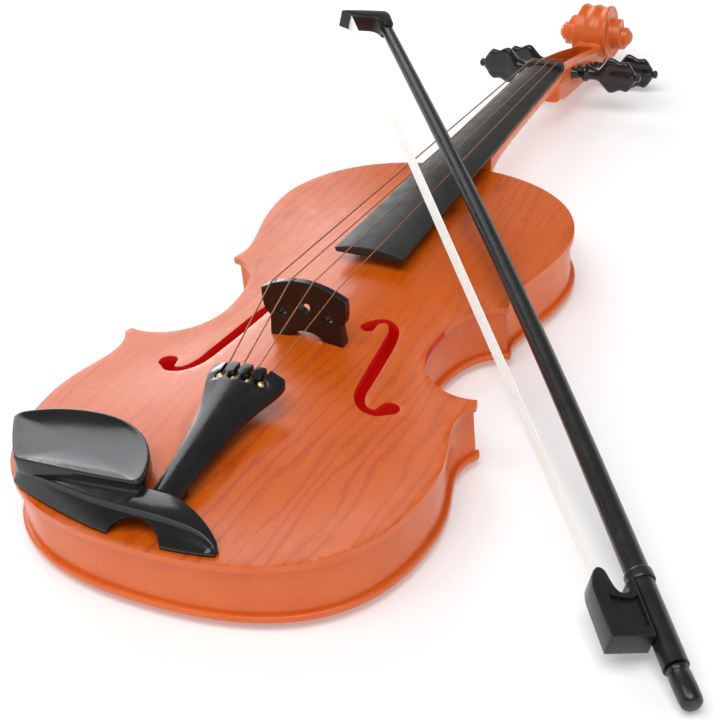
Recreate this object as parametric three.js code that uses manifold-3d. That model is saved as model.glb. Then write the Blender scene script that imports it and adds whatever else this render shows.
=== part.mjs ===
// A child's plastic violin with its bow lying across the strings.
// Millimetres, +Z up. Everything is drawn from the tail end of the body (y = 0) towards the
// scroll, with z = 0 at the flat of the back, and moved at the end so that the flat of the back
// is the origin. +X is the treble side.
import * as THREE from 'three';
import { mergeVertices } from 'three/addons/utils/BufferGeometryUtils.js';
import Module from 'manifold-3d';

const wasm = await Module();
wasm.setup();

// ---- driving dimensions ----
const BODY_LENGTH = 267;
const BODY_MIDDLE_Y = BODY_LENGTH / 2;
const LOWER_BOUT = { half: 75.2, y: 63 };
const WAIST = { half: 42, y: 135 };
const UPPER_BOUT = { half: 64.4, y: 217 };
const LOWER_CORNER = { tail: [71.4, 106.4], waist: [70.6, 109.6] };
const UPPER_CORNER = { waist: [58.9, 167.6], neck: [58.3, 170.6] };

const BACK_RISE = 3;              // arching of the back, below its edge
const EDGE_HEIGHT = 23.75;        // body height at the edge, both plates included
const PLATE = 2.6;                // thickness of top and back
const TOP_CROWN = 4.5;            // arching of the top, above its edge
const OVERHANG = 1.8;             // plate edge outside the ribs
const RIB_WALL = 2;
const GAP = 0.15;                 // clearance between pieces that touch

const TOP_EDGE_Z = BACK_RISE + EDGE_HEIGHT;
const RIB_BOTTOM_Z = BACK_RISE + PLATE + GAP;
const RIB_TOP_Z = TOP_EDGE_Z - PLATE - GAP;

const BRIDGE = { y: 121, foot: 4.8, top: 2.4, crownZ: 54.4, cornerX: 17, cornerZ: 49.4 };
const NUT = { y: 361, length: 3.6, half: 8.9, topZ: 34.2 };
const BOARD = { endY: 171.75, endHalf: 15, endZ: 39, nutZ: 33, thick: 3.6, crown: 2.2 };
const PEGBOX = { half: 8.6, farHalf: 6.6, slope: 0.366, axisY: 381, axisZ: 21.75 };
const SCROLL = { y: 435, z: 18, radius: 14.8, eyeHalf: 19 };
const TAILPIECE = { lowY: 19.4, highY: 79, lowHalf: 5.2, highHalf: 14.6, lowZ: 34.2, highZ: 44.5 };

const STRINGS = [
  { name: 'g', x: -12.6, nutX: -6.3, radius: 0.3, pegY: 377, headSide: -1 },
  { name: 'd', x: -4.3, nutX: -2.1, radius: 0.27, pegY: 404.5, headSide: -1 },
  { name: 'a', x: 4.3, nutX: 2.1, radius: 0.23, pegY: 413, headSide: 1 },
  { name: 'e', x: 12.6, nutX: 6.3, radius: 0.2, pegY: 385.5, headSide: 1 },
];
const BACK_SCREWS = [[-36, 30], [36, 30], [-36, 158], [36, 158], [-34, 232], [34, 232]];
const NECK_SCREWS_Z = [10.5, 18.5];
const CHIN_SCREWS = [[-30, 14], [19, 11]];
const TAIL_FOOT_Y = 27;
const BALL_Z = 42.4;
const CUP_LOW_Z = 32.6;
const CUP_TOP_Z = 39.6;
const PEG_SHAFT = { thick: 2.9, thin: 2.4, clearance: 0.35 };
const WINDING = { inner: 3.2, outer: 4.1, half: 1.2 };

// The bow is drawn along its own X axis, from the end of its screw to its tip, with the hair below.
const BOW = {
  length: 379, camber: 4.5, buttRadius: 4.3, tipRadius: 2.6, buttonLength: 13.5, stickStart: 14,
  collarStart: 45.9, collarEnd: 50,
};
const HAIR = { start: 43.5, end: 376, startZ: -12.4, endZ: -15.6, half: 3.1, thick: 0.7 };
const FROG = { rear: 23, front: 45.5, tongue: 50.5, half: 4.3, bottomZ: -17.8, noseZ: -17, travel: 2.4 };
const BOW_BUTT = new THREE.Vector3(173.5, 19.7, 4);
const BOW_CROSSING = new THREE.Vector3(17.9, 215.7, 48.4);
const BOW_TILT = THREE.MathUtils.degToRad(13);

// ---- materials ----
const plastic = (color, roughness = 0.3) => (
  new THREE.MeshStandardMaterial({ color, roughness, metalness: 0 })
);
const metal = (color, roughness = 0.3) => new THREE.MeshStandardMaterial({ color, roughness, metalness: 1 });
const ORANGE_TOP = plastic('#d9601c');
const ORANGE_SIDE = plastic('#e8773d');
const BLACK = plastic('#1b1a1a', 0.2);
const BOARD_GREY = plastic('#3b3c3a', 0.5);
const BRIDGE_BROWN = plastic('#33261f', 0.35);
const WOOD = plastic('#cfa877', 0.7);
const HAIR_WHITE = plastic('#f4f1ea', 0.6);
const STEEL = metal('#b9bcc0');
const BRASS = metal('#c8a450');

// ---- solids ----
// The geometry with shared corners merged, no empty faces, and its faces pointing out.
function closed(geometry) {
  const bare = geometry.clone();
  bare.deleteAttribute('normal');
  bare.deleteAttribute('uv');
  const merged = mergeVertices(bare, 1e-4);
  const index = [];
  for (let i = 0; i < merged.index.count; i += 3) {
    const [a, b, c] = [0, 1, 2].map((k) => merged.index.getX(i + k));
    if (a !== b && b !== c && c !== a) index.push(a, b, c);
  }
  merged.setIndex(index);
  return outward(merged);
}

function toManifold(geometry) {
  const ready = closed(geometry);
  return new wasm.Manifold(new wasm.Mesh({
    numProp: 3,
    vertProperties: new Float32Array(ready.attributes.position.array),
    triVerts: new Uint32Array(ready.index.array),
  }));
}

function toGeometry(manifold) {
  const mesh = manifold.getMesh();
  const geometry = new THREE.BufferGeometry();
  geometry.setAttribute('position', new THREE.BufferAttribute(new Float32Array(mesh.vertProperties), 3));
  geometry.setIndex(new THREE.BufferAttribute(new Uint32Array(mesh.triVerts), 1));
  return geometry;
}

const cut = (geometry, ...tools) =>
  toGeometry(tools.reduce((body, tool) => body.subtract(toManifold(tool)), toManifold(geometry)));
const join = (geometry, ...others) =>
  toGeometry(others.reduce((body, other) => body.add(toManifold(other)), toManifold(geometry)));
const common = (a, b) => toGeometry(toManifold(a).intersect(toManifold(b)));

// A closed skin over rings of points that all have the same count, capped by a fan at each end.
function loft(rings) {
  const count = rings[0].length;
  const positions = rings.flat().flatMap((p) => [p.x, p.y, p.z]);
  const index = [];
  for (let r = 0; r + 1 < rings.length; r += 1) {
    for (let i = 0; i < count; i += 1) {
      const a = r * count + i;
      const b = r * count + (i + 1) % count;
      index.push(a, b, a + count, b, b + count, a + count);
    }
  }
  for (const [ring, flip] of [[0, true], [rings.length - 1, false]]) {
    const centre = new THREE.Vector3();
    rings[ring].forEach((p) => centre.addScaledVector(p, 1 / count));
    const hub = positions.length / 3;
    positions.push(centre.x, centre.y, centre.z);
    for (let i = 0; i < count; i += 1) {
      const a = ring * count + i;
      const b = ring * count + (i + 1) % count;
      index.push(...(flip ? [hub, b, a] : [hub, a, b]));
    }
  }
  const geometry = new THREE.BufferGeometry();
  geometry.setAttribute('position', new THREE.Float32BufferAttribute(positions, 3));
  geometry.setIndex(index);
  return closed(geometry);
}

// Turns every face over when the closed skin encloses a negative volume.
function outward(geometry) {
  const p = geometry.attributes.position;
  const index = geometry.index.array;
  const [a, b, c] = [new THREE.Vector3(), new THREE.Vector3(), new THREE.Vector3()];
  let volume = 0;
  for (let i = 0; i < index.length; i += 3) {
    a.fromBufferAttribute(p, index[i]);
    b.fromBufferAttribute(p, index[i + 1]);
    c.fromBufferAttribute(p, index[i + 2]);
    volume += a.dot(b.cross(c));
  }
  if (volume < 0) {
    for (let i = 0; i < index.length; i += 3) {
      [index[i], index[i + 1]] = [index[i + 1], index[i]];
    }
  }
  return geometry;
}

// A rounded box section in the X-Z plane at one y, as a superellipse.
function section(y, x, z, halfX, halfZ, power = 4, count = 20) {
  return Array.from({ length: count }, (_, i) => {
    const angle = (i / count) * 2 * Math.PI + Math.PI / count;
    const c = Math.cos(angle);
    const s = Math.sin(angle);
    return new THREE.Vector3(
      x + halfX * Math.sign(c) * Math.abs(c) ** (2 / power),
      y,
      z + halfZ * Math.sign(s) * Math.abs(s) ** (2 / power),
    );
  });
}

// A round wire through the given points, with mitred bends.
function wire(points, radius, sides = 6) {
  const path = points.map((p) => new THREE.Vector3(...p));
  const rings = path.map((p, i) => {
    const before = (path[i].clone().sub(path[Math.max(i - 1, 0)])).normalize();
    const after = (path[Math.min(i + 1, path.length - 1)].clone().sub(path[i])).normalize();
    const along = before.clone().add(after).normalize();
    const side = new THREE.Vector3(1, 0, 0).cross(along).normalize();
    const across = along.clone().cross(side);
    return Array.from({ length: sides }, (_, k) => {
      const angle = (k / sides) * 2 * Math.PI;
      return p.clone()
        .addScaledVector(side, radius * Math.cos(angle))
        .addScaledVector(across, radius * Math.sin(angle));
    });
  });
  return loft(rings);
}

const cylinderX = (radius, length, sides = 20, farRadius = radius) =>
  new THREE.CylinderGeometry(farRadius, radius, length, sides).rotateZ(-Math.PI / 2);
const cylinderZ = (radius, length, sides = 16) =>
  new THREE.CylinderGeometry(radius, radius, length, sides).rotateX(Math.PI / 2);
const cylinderY = (radius, length, sides = 12) => new THREE.CylinderGeometry(radius, radius, length, sides);
const block = (size, centre) => new THREE.BoxGeometry(...size).translate(...centre);
const smooth = (t) => THREE.MathUtils.smoothstep(t, 0, 1);

// ---- the body's outline ----
// The right half runs from the tail to the neck as cubic curves; each corner is a short straight tip.
const { half: LOWER, y: LOWER_Y } = LOWER_BOUT;
const { half: UPPER, y: UPPER_Y } = UPPER_BOUT;
const RIGHT_HALF = [
  [[0, 0], [0.73 * LOWER, 0], [LOWER, 0.37 * LOWER_Y], [LOWER, LOWER_Y]],
  [[LOWER, LOWER_Y], [LOWER, LOWER_Y + 20], [62.5, 94], LOWER_CORNER.tail],
  [LOWER_CORNER.waist, [58, 106.5], [WAIST.half + 0.5, 117], [WAIST.half, WAIST.y]],
  [[WAIST.half, WAIST.y], [WAIST.half - 0.3, 151], [46, 165.5], UPPER_CORNER.waist],
  [UPPER_CORNER.neck, [54, 180], [UPPER, 194], [UPPER, UPPER_Y]],
  [[UPPER, UPPER_Y], [UPPER, UPPER_Y + 25], [0.65 * UPPER, BODY_LENGTH], [0, BODY_LENGTH]],
].map((points) => points.map(([x, y]) => new THREE.Vector2(x, y)));

// Points along the right half with the inward direction at each.
function rightHalf(steps) {
  return RIGHT_HALF.flatMap((points) => {
    const bezier = new THREE.CubicBezierCurve(...points);
    return Array.from({ length: steps + 1 }, (_, i) => {
      const point = bezier.getPoint(i / steps);
      const tangent = bezier.getTangent(i / steps);
      return { point, inward: new THREE.Vector2(-tangent.y, tangent.x) };
    });
  });
}
const EDGE_POINTS = rightHalf(60).map(({ point }) => point);

// The outline as points, moved inwards by inset. Points that a corner has folded over are dropped.
function outline(inset, steps = 7) {
  const right = [];
  for (const { point, inward } of rightHalf(steps)) {
    const moved = point.clone().addScaledVector(inward, inset);
    const depth = Math.min(...EDGE_POINTS.map((p) => p.distanceTo(moved)));
    const far = right.length === 0 || right.at(-1).distanceTo(moved) > 0.6;
    if (depth > inset * 0.985 - 0.01 && far) right.push(moved);
  }
  right[0].x = 0;
  right.at(-1).x = 0;
  const left = right.slice(1, -1).reverse().map((p) => new THREE.Vector2(-p.x, p.y));
  return [...right, ...left];
}

// ---- arching ----
// Half width that the arching follows: bouts and waist joined by smooth steps.
function archHalf(y) {
  const bands = [[0, 40], [LOWER_Y, LOWER], [WAIST.y, WAIST.half + 3], [UPPER_Y, UPPER], [BODY_LENGTH, 36]];
  const next = bands.findIndex(([bandY]) => bandY >= y);
  if (next < 0) return bands.at(-1)[1];
  if (next === 0) return bands[0][1];
  const [[y0, half0], [y1, half1]] = [bands[next - 1], bands[next]];
  return THREE.MathUtils.lerp(half0, half1, smooth((y - y0) / (y1 - y0)));
}

// 1 along the middle of the body, 0 at the flat margin round its edge.
function arch(x, y) {
  const across = Math.min(Math.abs(x) / archHalf(y) / 0.92, 1);
  const along = Math.min(Math.max((Math.abs(y - BODY_MIDDLE_Y) / BODY_MIDDLE_Y - 0.45) / 0.5, 0), 1);
  return Math.cos((across * Math.PI) / 2) ** 2 * Math.cos((along * Math.PI) / 2) ** 2;
}
const topZ = (x, y) => TOP_EDGE_Z + TOP_CROWN * arch(x, y);
// The back is cut flat at its crown, so that it has a face to rest on.
const backZ = (x, y) => Math.max(BACK_RISE * (1 - 1.25 * arch(x, y)), 0);

// A closed slab between two height functions, on a grid that widens and narrows with the body.
function archedSlab(lowZ, highZ, columns = 14, rows = 20) {
  const ring = (row) => {
    const y = -4 + (row / rows) * (BODY_LENGTH + 8);
    const at = (column) => (2 * column / columns - 1) * archHalf(y) * 1.25;
    const across = Array.from({ length: columns + 1 }, (_, column) => at(column));
    return [
      ...across.map((x) => new THREE.Vector3(x, y, lowZ(x, y))),
      ...across.reverse().map((x) => new THREE.Vector3(x, y, highZ(x, y))),
    ];
  };
  return loft(Array.from({ length: rows + 1 }, (_, row) => ring(row)));
}

const slice = (shape, lowZ, height, curveSegments = 8) =>
  new THREE.ExtrudeGeometry(shape, { depth: height, bevelEnabled: false, curveSegments })
    .translate(0, 0, lowZ);

// ---- sound holes ----
// The middle line of the right-hand hole from its upper eye to its lower eye, with half widths.
const SOUND_HOLE = [
  [16.8, 134.9, 2.7], [18.2, 139.2, 1.5], [21.7, 141.6, 1.2], [25.8, 138.2, 1.9], [27.6, 130.5, 2.4],
  [29.2, 118, 2.5], [30.8, 105, 2.4], [32.2, 96.4, 2.1], [36, 90.6, 1.6], [41.2, 89.8, 1.9], [44.6, 94, 3.7],
];

function soundHole(side, steps = 20) {
  const line = new THREE.CatmullRomCurve3(SOUND_HOLE.map(([x, y]) => new THREE.Vector3(x, y, 0)));
  const widths = new THREE.CatmullRomCurve3(SOUND_HOLE.map(([, , half], i) => new THREE.Vector3(i, half, 0)));
  const left = [];
  const right = [];
  for (let i = 0; i <= steps; i += 1) {
    const point = line.getPoint(i / steps);
    const tangent = line.getTangent(i / steps);
    const half = widths.getPoint(i / steps).y;
    left.push([point.x - half * tangent.y, point.y + half * tangent.x]);
    right.push([point.x + half * tangent.y, point.y - half * tangent.x]);
  }
  const cap = (at, ahead) => {
    const point = line.getPoint(at);
    const tangent = line.getTangent(at);
    const half = widths.getPoint(at).y;
    return [point.x + ahead * half * tangent.x, point.y + ahead * half * tangent.y];
  };
  const points = [...left, cap(1, 1), ...right.reverse(), cap(0, -1)]
    .map(([x, y]) => new THREE.Vector2(side * x, y));
  return new THREE.Path(points);
}

// ---- body ----
function topPlate() {
  const shape = new THREE.Shape(outline(0));
  shape.holes.push(soundHole(1), soundHole(-1));
  const plate = common(slice(shape, 0, 60), archedSlab((x, y) => topZ(x, y) - PLATE, topZ));
  const pilots = BACK_SCREWS.map(([x, y]) => cylinderZ(1.15, 24, 10).translate(x, y, 5));
  const through = [...CHIN_SCREWS, [0, TAIL_FOOT_Y]]
    .map(([x, y]) => cylinderZ(1.3, 20, 10).translate(x, y, TOP_EDGE_Z));
  return cut(join(plate, ...BACK_SCREWS.map(screwBoss)), ...pilots, ...through);
}

function backPlate() {
  const shape = new THREE.Shape(outline(0));
  const plate = common(slice(shape, -5, 40), archedSlab(backZ, (x, y) => backZ(x, y) + PLATE, 12, 18));
  const holes = BACK_SCREWS.map(([x, y]) => cylinderZ(1.3, 20, 10).translate(x, y, backZ(x, y)));
  const sinks = BACK_SCREWS.map(([x, y]) => cylinderZ(2.8, 6, 12).translate(x, y, backZ(x, y) - 1.6));
  return cut(plate, ...holes, ...sinks);
}

function ribShell() {
  const shape = new THREE.Shape(outline(OVERHANG));
  shape.holes.push(new THREE.Path(outline(OVERHANG + RIB_WALL)));
  const ribs = slice(shape, RIB_BOTTOM_Z, RIB_TOP_Z - RIB_BOTTOM_Z);
  return cut(ribs, ...NECK_SCREWS_Z.map((z) => cylinderY(1.6, 20).translate(0, BODY_LENGTH, z)));
}

// Bosses under the top take the screws that come through the back.
function screwBoss([x, y]) {
  const low = backZ(x, y) + PLATE + 0.3;
  const high = topZ(x, y) - PLATE / 2;
  return cylinderZ(3.4, high - low, 12).translate(x, y, (high + low) / 2);
}

// ---- neck, pegbox and scroll ----
const boardTopZ = (y) => THREE.MathUtils.mapLinear(y, BOARD.endY, NUT.y, BOARD.endZ, BOARD.nutZ);
const boardHalf = (y) => THREE.MathUtils.mapLinear(y, BOARD.endY, NUT.y, BOARD.endHalf, NUT.half);
const pegZ = (y) => PEGBOX.axisZ - (y - PEGBOX.axisY) * PEGBOX.slope;

function neckShaft() {
  const stations = [
    [266, 6], [269, 7.5], [273, 14.5], [280, 19], [300, 20.8], [345, 20.4], [357, 17.2], [366, 14.2],
  ];
  return loft(stations.map(([y, underZ]) => {
    const top = boardTopZ(y) - BOARD.thick - GAP;
    const half = boardHalf(Math.min(y, NUT.y)) - 0.4;
    return Array.from({ length: 17 }, (_, i) => {
      const angle = Math.PI + (i / 16) * Math.PI;
      return new THREE.Vector3(half * Math.cos(angle), y, top + (top - underZ) * Math.sin(angle));
    });
  }));
}

function pegbox() {
  const walls = loft([
    [358, 22.2, 6.4, PEGBOX.half], [365.5, 21.8, 6.9, PEGBOX.half], [370, 21.6, 9.2, PEGBOX.half],
    [395, 16.8, 8, PEGBOX.half - 0.8], [420, 11.6, 6.2, PEGBOX.farHalf], [430, 14, 7, PEGBOX.farHalf - 0.4],
  ].map(([y, z, halfZ, half]) => section(y, 0, z, half, halfZ, 5)));
  const slot = loft([
    [367, 6], [395, 5.2], [419, 4.4],
  ].map(([y, half]) => section(y, 0, pegZ(y) + 9, half, 14, 8)));
  return { walls, slot };
}

// The scroll's turns, as discs that get smaller and stand further out towards the eyes.
function scroll() {
  const turns = [
    [SCROLL.radius, 6.2, 0, 0], [11, 10.2, 0.4, 1.4], [7.6, 14, 0.6, 0.6], [4, SCROLL.eyeHalf, 0, 0],
  ];
  return turns.map(([radius, half, forward, rise]) =>
    cylinderX(radius, 2 * half, 20).translate(0, SCROLL.y + forward, SCROLL.z + rise));
}

function neck() {
  const { walls, slot } = pegbox();
  const outside = join(neckShaft(), walls, ...scroll());
  const holes = STRINGS.map(({ pegY }) =>
    cylinderX(PEG_SHAFT.thick + PEG_SHAFT.clearance, 40).translate(0, pegY, pegZ(pegY)));
  const pilots = NECK_SCREWS_Z.map((z) => cylinderY(1.4, 20).translate(0, BODY_LENGTH, z));
  const heelCut = block([60, 20, 60], [0, BODY_LENGTH - 10 + 0.3, 30]);
  return cut(outside, slot, heelCut, ...holes, ...pilots);
}

function fingerboard() {
  const stations = [BOARD.endY, 220, 290, NUT.y - 0.3];
  return loft(stations.map((y) => {
    const half = boardHalf(y);
    const top = boardTopZ(y);
    const curved = Array.from({ length: 9 }, (_, i) => {
      const t = i / 4 - 1;
      return new THREE.Vector3(half * t, y, top - BOARD.crown * t * t + 0.4);
    });
    const under = top - BOARD.thick;
    return [...curved, new THREE.Vector3(half, y, under), new THREE.Vector3(-half, y, under)];
  }));
}

const nut = () => loft([NUT.y, NUT.y + NUT.length].map((y) =>
  section(y, 0, NUT.topZ - 2.6 - GAP, NUT.half, 2.2, 6, 16)));

// ---- strings ----
const bridgeTopZ = (x) => BRIDGE.crownZ - (BRIDGE.crownZ - BRIDGE.cornerZ) * (x / BRIDGE.cornerX) ** 2;
const tailpieceTopZ = (y) => (
  THREE.MathUtils.mapLinear(y, TAILPIECE.lowY, TAILPIECE.highY, TAILPIECE.lowZ, TAILPIECE.highZ)
);

function stringWire({ x, nutX, radius, pegY }) {
  const lift = radius + 0.3;
  return wire([
    [x * 0.62, TAILPIECE.highY - 4.2, tailpieceTopZ(TAILPIECE.highY) - 2.2],
    [x, BRIDGE.y, bridgeTopZ(x) + lift],
    [nutX, NUT.y + 1.8, NUT.topZ + lift],
    [nutX * 0.55, pegY - 0.6, pegZ(pegY) + WINDING.outer + lift],
  ], radius);
}

const ring = (inner, outer, half, sides = 16) => new THREE.LatheGeometry(
  [[inner, -half], [outer, -half], [outer, half], [inner, half], [inner, -half]]
    .map(([r, h]) => new THREE.Vector2(r, h)),
  sides,
).rotateZ(-Math.PI / 2);

function peg(side) {
  const profile = [
    [0, -11.2], [PEG_SHAFT.thin, -11.2], [PEG_SHAFT.thick, 11], [3.9, 11.4], [4.4, 13.2], [3.1, 15], [3, 18],
    [4.6, 20], [0, 20.6],
  ].map(([r, h]) => new THREE.Vector2(r, h));
  const shank = new THREE.LatheGeometry(profile, 12).rotateZ(-Math.PI / 2);
  const head = loft([
    [18, 3, 3.2], [20.5, 3.6, 5.4], [23.5, 3.1, 9], [26.5, 2.6, 8.8],
    [29.2, 2.5, 7.6], [32, 2.7, 7.6], [34.5, 3, 5.4],
    [36.5, 2.6, 3], [39, 1.6, 1.6],
  ].map(([x, thick, tall]) => section(x, 0, 0, thick, tall, 2.6, 12)
    .map((p) => new THREE.Vector3(p.y, p.x, p.z))));
  const whole = join(shank, head);
  return side > 0 ? whole : whole.rotateY(Math.PI);
}

// ---- bridge, tailpiece, chin rest ----
function bridge() {
  const foot = (x) => topZ(x, BRIDGE.y) + 0.3;
  const shape = new THREE.Shape();
  shape.moveTo(-14.7, foot(14.7));
  shape.lineTo(-6.6, foot(6.6));
  shape.bezierCurveTo(-5.2, 34.6, 4, 35.6, 6.6, foot(6.6));
  shape.lineTo(14.7, foot(14.7));
  shape.lineTo(14.2, 38);
  shape.quadraticCurveTo(14.4, 39.4, 15.9, 39.8);
  shape.quadraticCurveTo(17.3, 44, BRIDGE.cornerX, BRIDGE.cornerZ);
  const crown = [1, 0.75, 0.5, 0.25, 0, -0.25, -0.5, -0.75, -1].map((t) => t * BRIDGE.cornerX);
  crown.forEach((x) => shape.lineTo(x, bridgeTopZ(x)));
  shape.quadraticCurveTo(-17.3, 44, -15.9, 39.8);
  shape.quadraticCurveTo(-14.4, 39.4, -14.2, 38);
  shape.closePath();
  const hole = (x, z, radius) => new THREE.Path().absarc(x, z, radius, 0, 2 * Math.PI, true);
  shape.holes.push(hole(0, 43.8, 2.2), hole(-9.4, 40.6, 1.7), hole(9.4, 40.6, 1.7));
  const slab = new THREE.ExtrudeGeometry(shape, { depth: BRIDGE.foot, bevelEnabled: false, curveSegments: 8 })
    .rotateX(Math.PI / 2)
    .translate(0, BRIDGE.y + BRIDGE.foot / 2, 0);
  const p = slab.attributes.position;
  for (let i = 0; i < p.count; i += 1) {
    const rise = (p.getZ(i) - 30) / (BRIDGE.crownZ - 30);
    const thick = THREE.MathUtils.lerp(1, BRIDGE.top / BRIDGE.foot, rise);
    p.setY(i, BRIDGE.y + (p.getY(i) - BRIDGE.y) * thick);
  }
  return slab;
}

function tailpiece() {
  const stations = [
    [0, 1, 3.4], [0.2, 1.1, 4], [0.6, 1.62, 4.8], [0.88, 2.62, 5.4], [0.97, 2.81, 5.2], [1, 2.66, 3.6],
  ];
  const body = loft(stations.map(([t, widen, thick]) => {
    const y = THREE.MathUtils.lerp(TAILPIECE.lowY, TAILPIECE.highY, t);
    const top = tailpieceTopZ(y);
    const half = TAILPIECE.lowHalf * widen;
    return [[-1, -1], [1, -1], [1, -0.45], [0.62, 0.1], [0.3, 0.3], [-0.3, 0.3], [-0.62, 0.1], [-1, -0.45]]
      .map(([x, z]) => new THREE.Vector3(x * half, y, top + z * thick));
  }));
  const slots = STRINGS.map(({ x }) => block([1.8, 9, 14], [x * 0.62, TAILPIECE.highY - 1.6, 44]));
  const keyholes = STRINGS
    .map(({ x }) => cylinderZ(2.1, 16, 14).translate(x * 0.62, TAILPIECE.highY - 6.4, 44));
  const footLow = topZ(0, TAIL_FOOT_Y + 4) + 0.4;
  const foot = cylinderZ(3.8, 7, 16).translate(0, TAIL_FOOT_Y, footLow + 3.5);
  const pilot = cylinderZ(1.2, 10, 10).translate(0, TAIL_FOOT_Y, footLow);
  return cut(join(body, foot), ...slots, ...keyholes, pilot);
}

const ballEnd = () => new THREE.SphereGeometry(1.6, 10, 6);

// The chin rest's bar from left to right: x, front y, step y, rear y, z below the step, z of the shelf.
const CHIN_BAR = [
  [-56, 14.3, 16.2, 20, 29.4, 30.4], [-51, 12.2, 14.6, 23, 31.6, 32.8], [-38, 7.9, 11.4, 24, 33.2, 35.2],
  [-20, 3.9, 8.8, 24, 33.4, 35.8], [-11, 2.9, 8.3, 22, 33.4, 35.8], [-7, 2.6, 8.2, 18.8, 33.4, 35.8],
  [5, 2.5, 8.4, 18.4, 33.2, 35.4], [13, 3, 8.6, 16.2, 32.6, 34.4], [20, 3.9, 8.6, 12.8, 31.2, 32.6],
  [25, 4.9, 7.4, 9.6, 29.2, 30], [26.6, 5.4, 6.6, 7.8, 28, 28.3],
];
const CHIN_ARCH = { x: -1.8, half: 10.2, tall: 6.8 };

function chinCup() {
  const plan = new THREE.Shape();
  plan.moveTo(-51.6, 13.2);
  plan.quadraticCurveTo(-30, 13.8, -8, 16);
  plan.quadraticCurveTo(-5.9, 16.4, -6.2, 19.4);
  plan.bezierCurveTo(-8, 29, -17, 44.8, -37, 44.8);
  plan.quadraticCurveTo(-54, 44.6, -65.5, 36.4);
  plan.quadraticCurveTo(-68, 34.4, -66, 31.6);
  plan.quadraticCurveTo(-61, 23, -53, 13.8);
  plan.closePath();
  const dish = new THREE.SphereGeometry(1, 24, 16).scale(30, 17, 3).translate(-36, 29.5, CUP_TOP_Z + 0.6);
  return cut(slice(plan, CUP_LOW_Z, CUP_TOP_Z - CUP_LOW_Z, 10), dish);
}

function chinRest() {
  const low = TOP_EDGE_Z + 0.4;
  const bar = loft(CHIN_BAR.map(([x, front, step, rear, lowStep, shelf]) =>
    [
      [rear, topZ(x, rear) + 0.4], [rear, shelf], [step, shelf],
      [step - 0.3, lowStep], [front, low + 0.6], [front, low],
    ]
      .map(([y, z]) => new THREE.Vector3(x, y, z))));
  const arch = cylinderY(1, 60, 24).scale(CHIN_ARCH.half, 1, CHIN_ARCH.tall)
    .translate(CHIN_ARCH.x, 12, TOP_EDGE_Z - 0.5);
  const pilots = CHIN_SCREWS.map(([x, y]) => cylinderZ(1.3, 10).translate(x, y, low));
  return cut(join(chinCup(), bar), arch, ...pilots);
}

// ---- inside ----
function bassBar() {
  return loft([62, 92, 121, 150, 180].map((y, i) => {
    const top = Math.min(topZ(-10.2, y), topZ(-13.8, y)) - PLATE - 0.35;
    const tall = [1.6, 3.4, 4.6, 3.4, 1.6][i];
    return [[-13.8, -tall], [-10.2, -tall], [-10.2, 0], [-13.8, 0]]
      .map(([x, z]) => new THREE.Vector3(x, y, top + z));
  }));
}

function soundPost() {
  const low = backZ(12, 112) + PLATE + 0.3;
  const high = topZ(15, 112) - PLATE - 0.3;
  return cylinderZ(2.4, high - low).translate(12, 112, (low + high) / 2);
}

function neckBlock() {
  const tall = RIB_TOP_Z - RIB_BOTTOM_Z - 0.6;
  const body = block([26, 11, tall], [0, 255.9, (RIB_TOP_Z + RIB_BOTTOM_Z) / 2]);
  return cut(body, ...NECK_SCREWS_Z.map((z) => cylinderY(1.6, 30).translate(0, 256, z)));
}

// A screw pointing up, its head at z = 0.
function screw(length, headRadius = 2.3, shankRadius = 0.95) {
  const profile = [
    [0, 0], [headRadius, 0], [headRadius, 0.9], [shankRadius, 1.1], [shankRadius, length - 1], [0, length],
  ];
  return new THREE.LatheGeometry(profile.map(([r, h]) => new THREE.Vector2(r, h)), 10).rotateX(Math.PI / 2);
}

// ---- bow ----
const stickZ = (x) => BOW.camber * Math.sin((Math.PI * x) / BOW.length);
const stickRadius = (x) => THREE.MathUtils.mapLinear(x, 0, BOW.length, BOW.buttRadius, BOW.tipRadius);
const screwZ = stickZ(40);
const EYELET = { radius: 1.3, tall: 7.5, aboveScrew: 1.35 };
const hairZ = (x) => THREE.MathUtils.mapLinear(x, HAIR.start, HAIR.end, HAIR.startZ, HAIR.endZ + 0.3);
const roundAt = (x, z, radius, sides = 10) => Array.from({ length: sides }, (_, i) => {
  const angle = ((i + 0.5) / sides) * 2 * Math.PI;
  return new THREE.Vector3(x, radius * Math.cos(angle), z + radius * Math.sin(angle));
});
const sideView = (shape, half, curveSegments = 6) =>
  new THREE.ExtrudeGeometry(shape, { depth: 2 * half, bevelEnabled: false, curveSegments })
    .translate(0, 0, -half)
    .rotateX(Math.PI / 2);

function bowStick() {
  const stick = loft(Array.from({ length: 15 }, (_, i) => {
    const x = THREE.MathUtils.lerp(BOW.stickStart, BOW.length - 4, i / 14);
    return roundAt(x, stickZ(x), stickRadius(x));
  }));
  const head = new THREE.Shape();
  head.moveTo(BOW.length - 11, 2.6);
  head.lineTo(BOW.length - 11, -1.8);
  head.quadraticCurveTo(BOW.length - 6.4, -2.4, BOW.length - 6, -6);
  head.lineTo(BOW.length - 5.6, HAIR.endZ + 1);
  head.lineTo(BOW.length - 2.2, -19.4);
  head.lineTo(BOW.length - 0.8, -19);
  head.lineTo(BOW.length, -6);
  head.lineTo(BOW.length, 1);
  head.quadraticCurveTo(BOW.length - 1, 2.9, BOW.length - 4, 2.9);
  head.closePath();
  const bore = cylinderX(1.9, 60, 12).translate(BOW.stickStart + 30, 0, screwZ);
  const slot = block([12, 3, 8], [29, 0, screwZ - 4]);
  const pocket = block([3.4, 2 * HAIR.half + 0.4, 1.3], [HAIR.end - 1.2, 0, hairZ(HAIR.end - 1)]);
  return cut(join(stick, sideView(head, 3.9)), bore, slot, pocket);
}

// The top of the frog, clear of the curved stick over its whole travel.
const frogTopZ = (x) => stickZ(x - FROG.travel) - stickRadius(x - FROG.travel) - 0.1;

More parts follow.
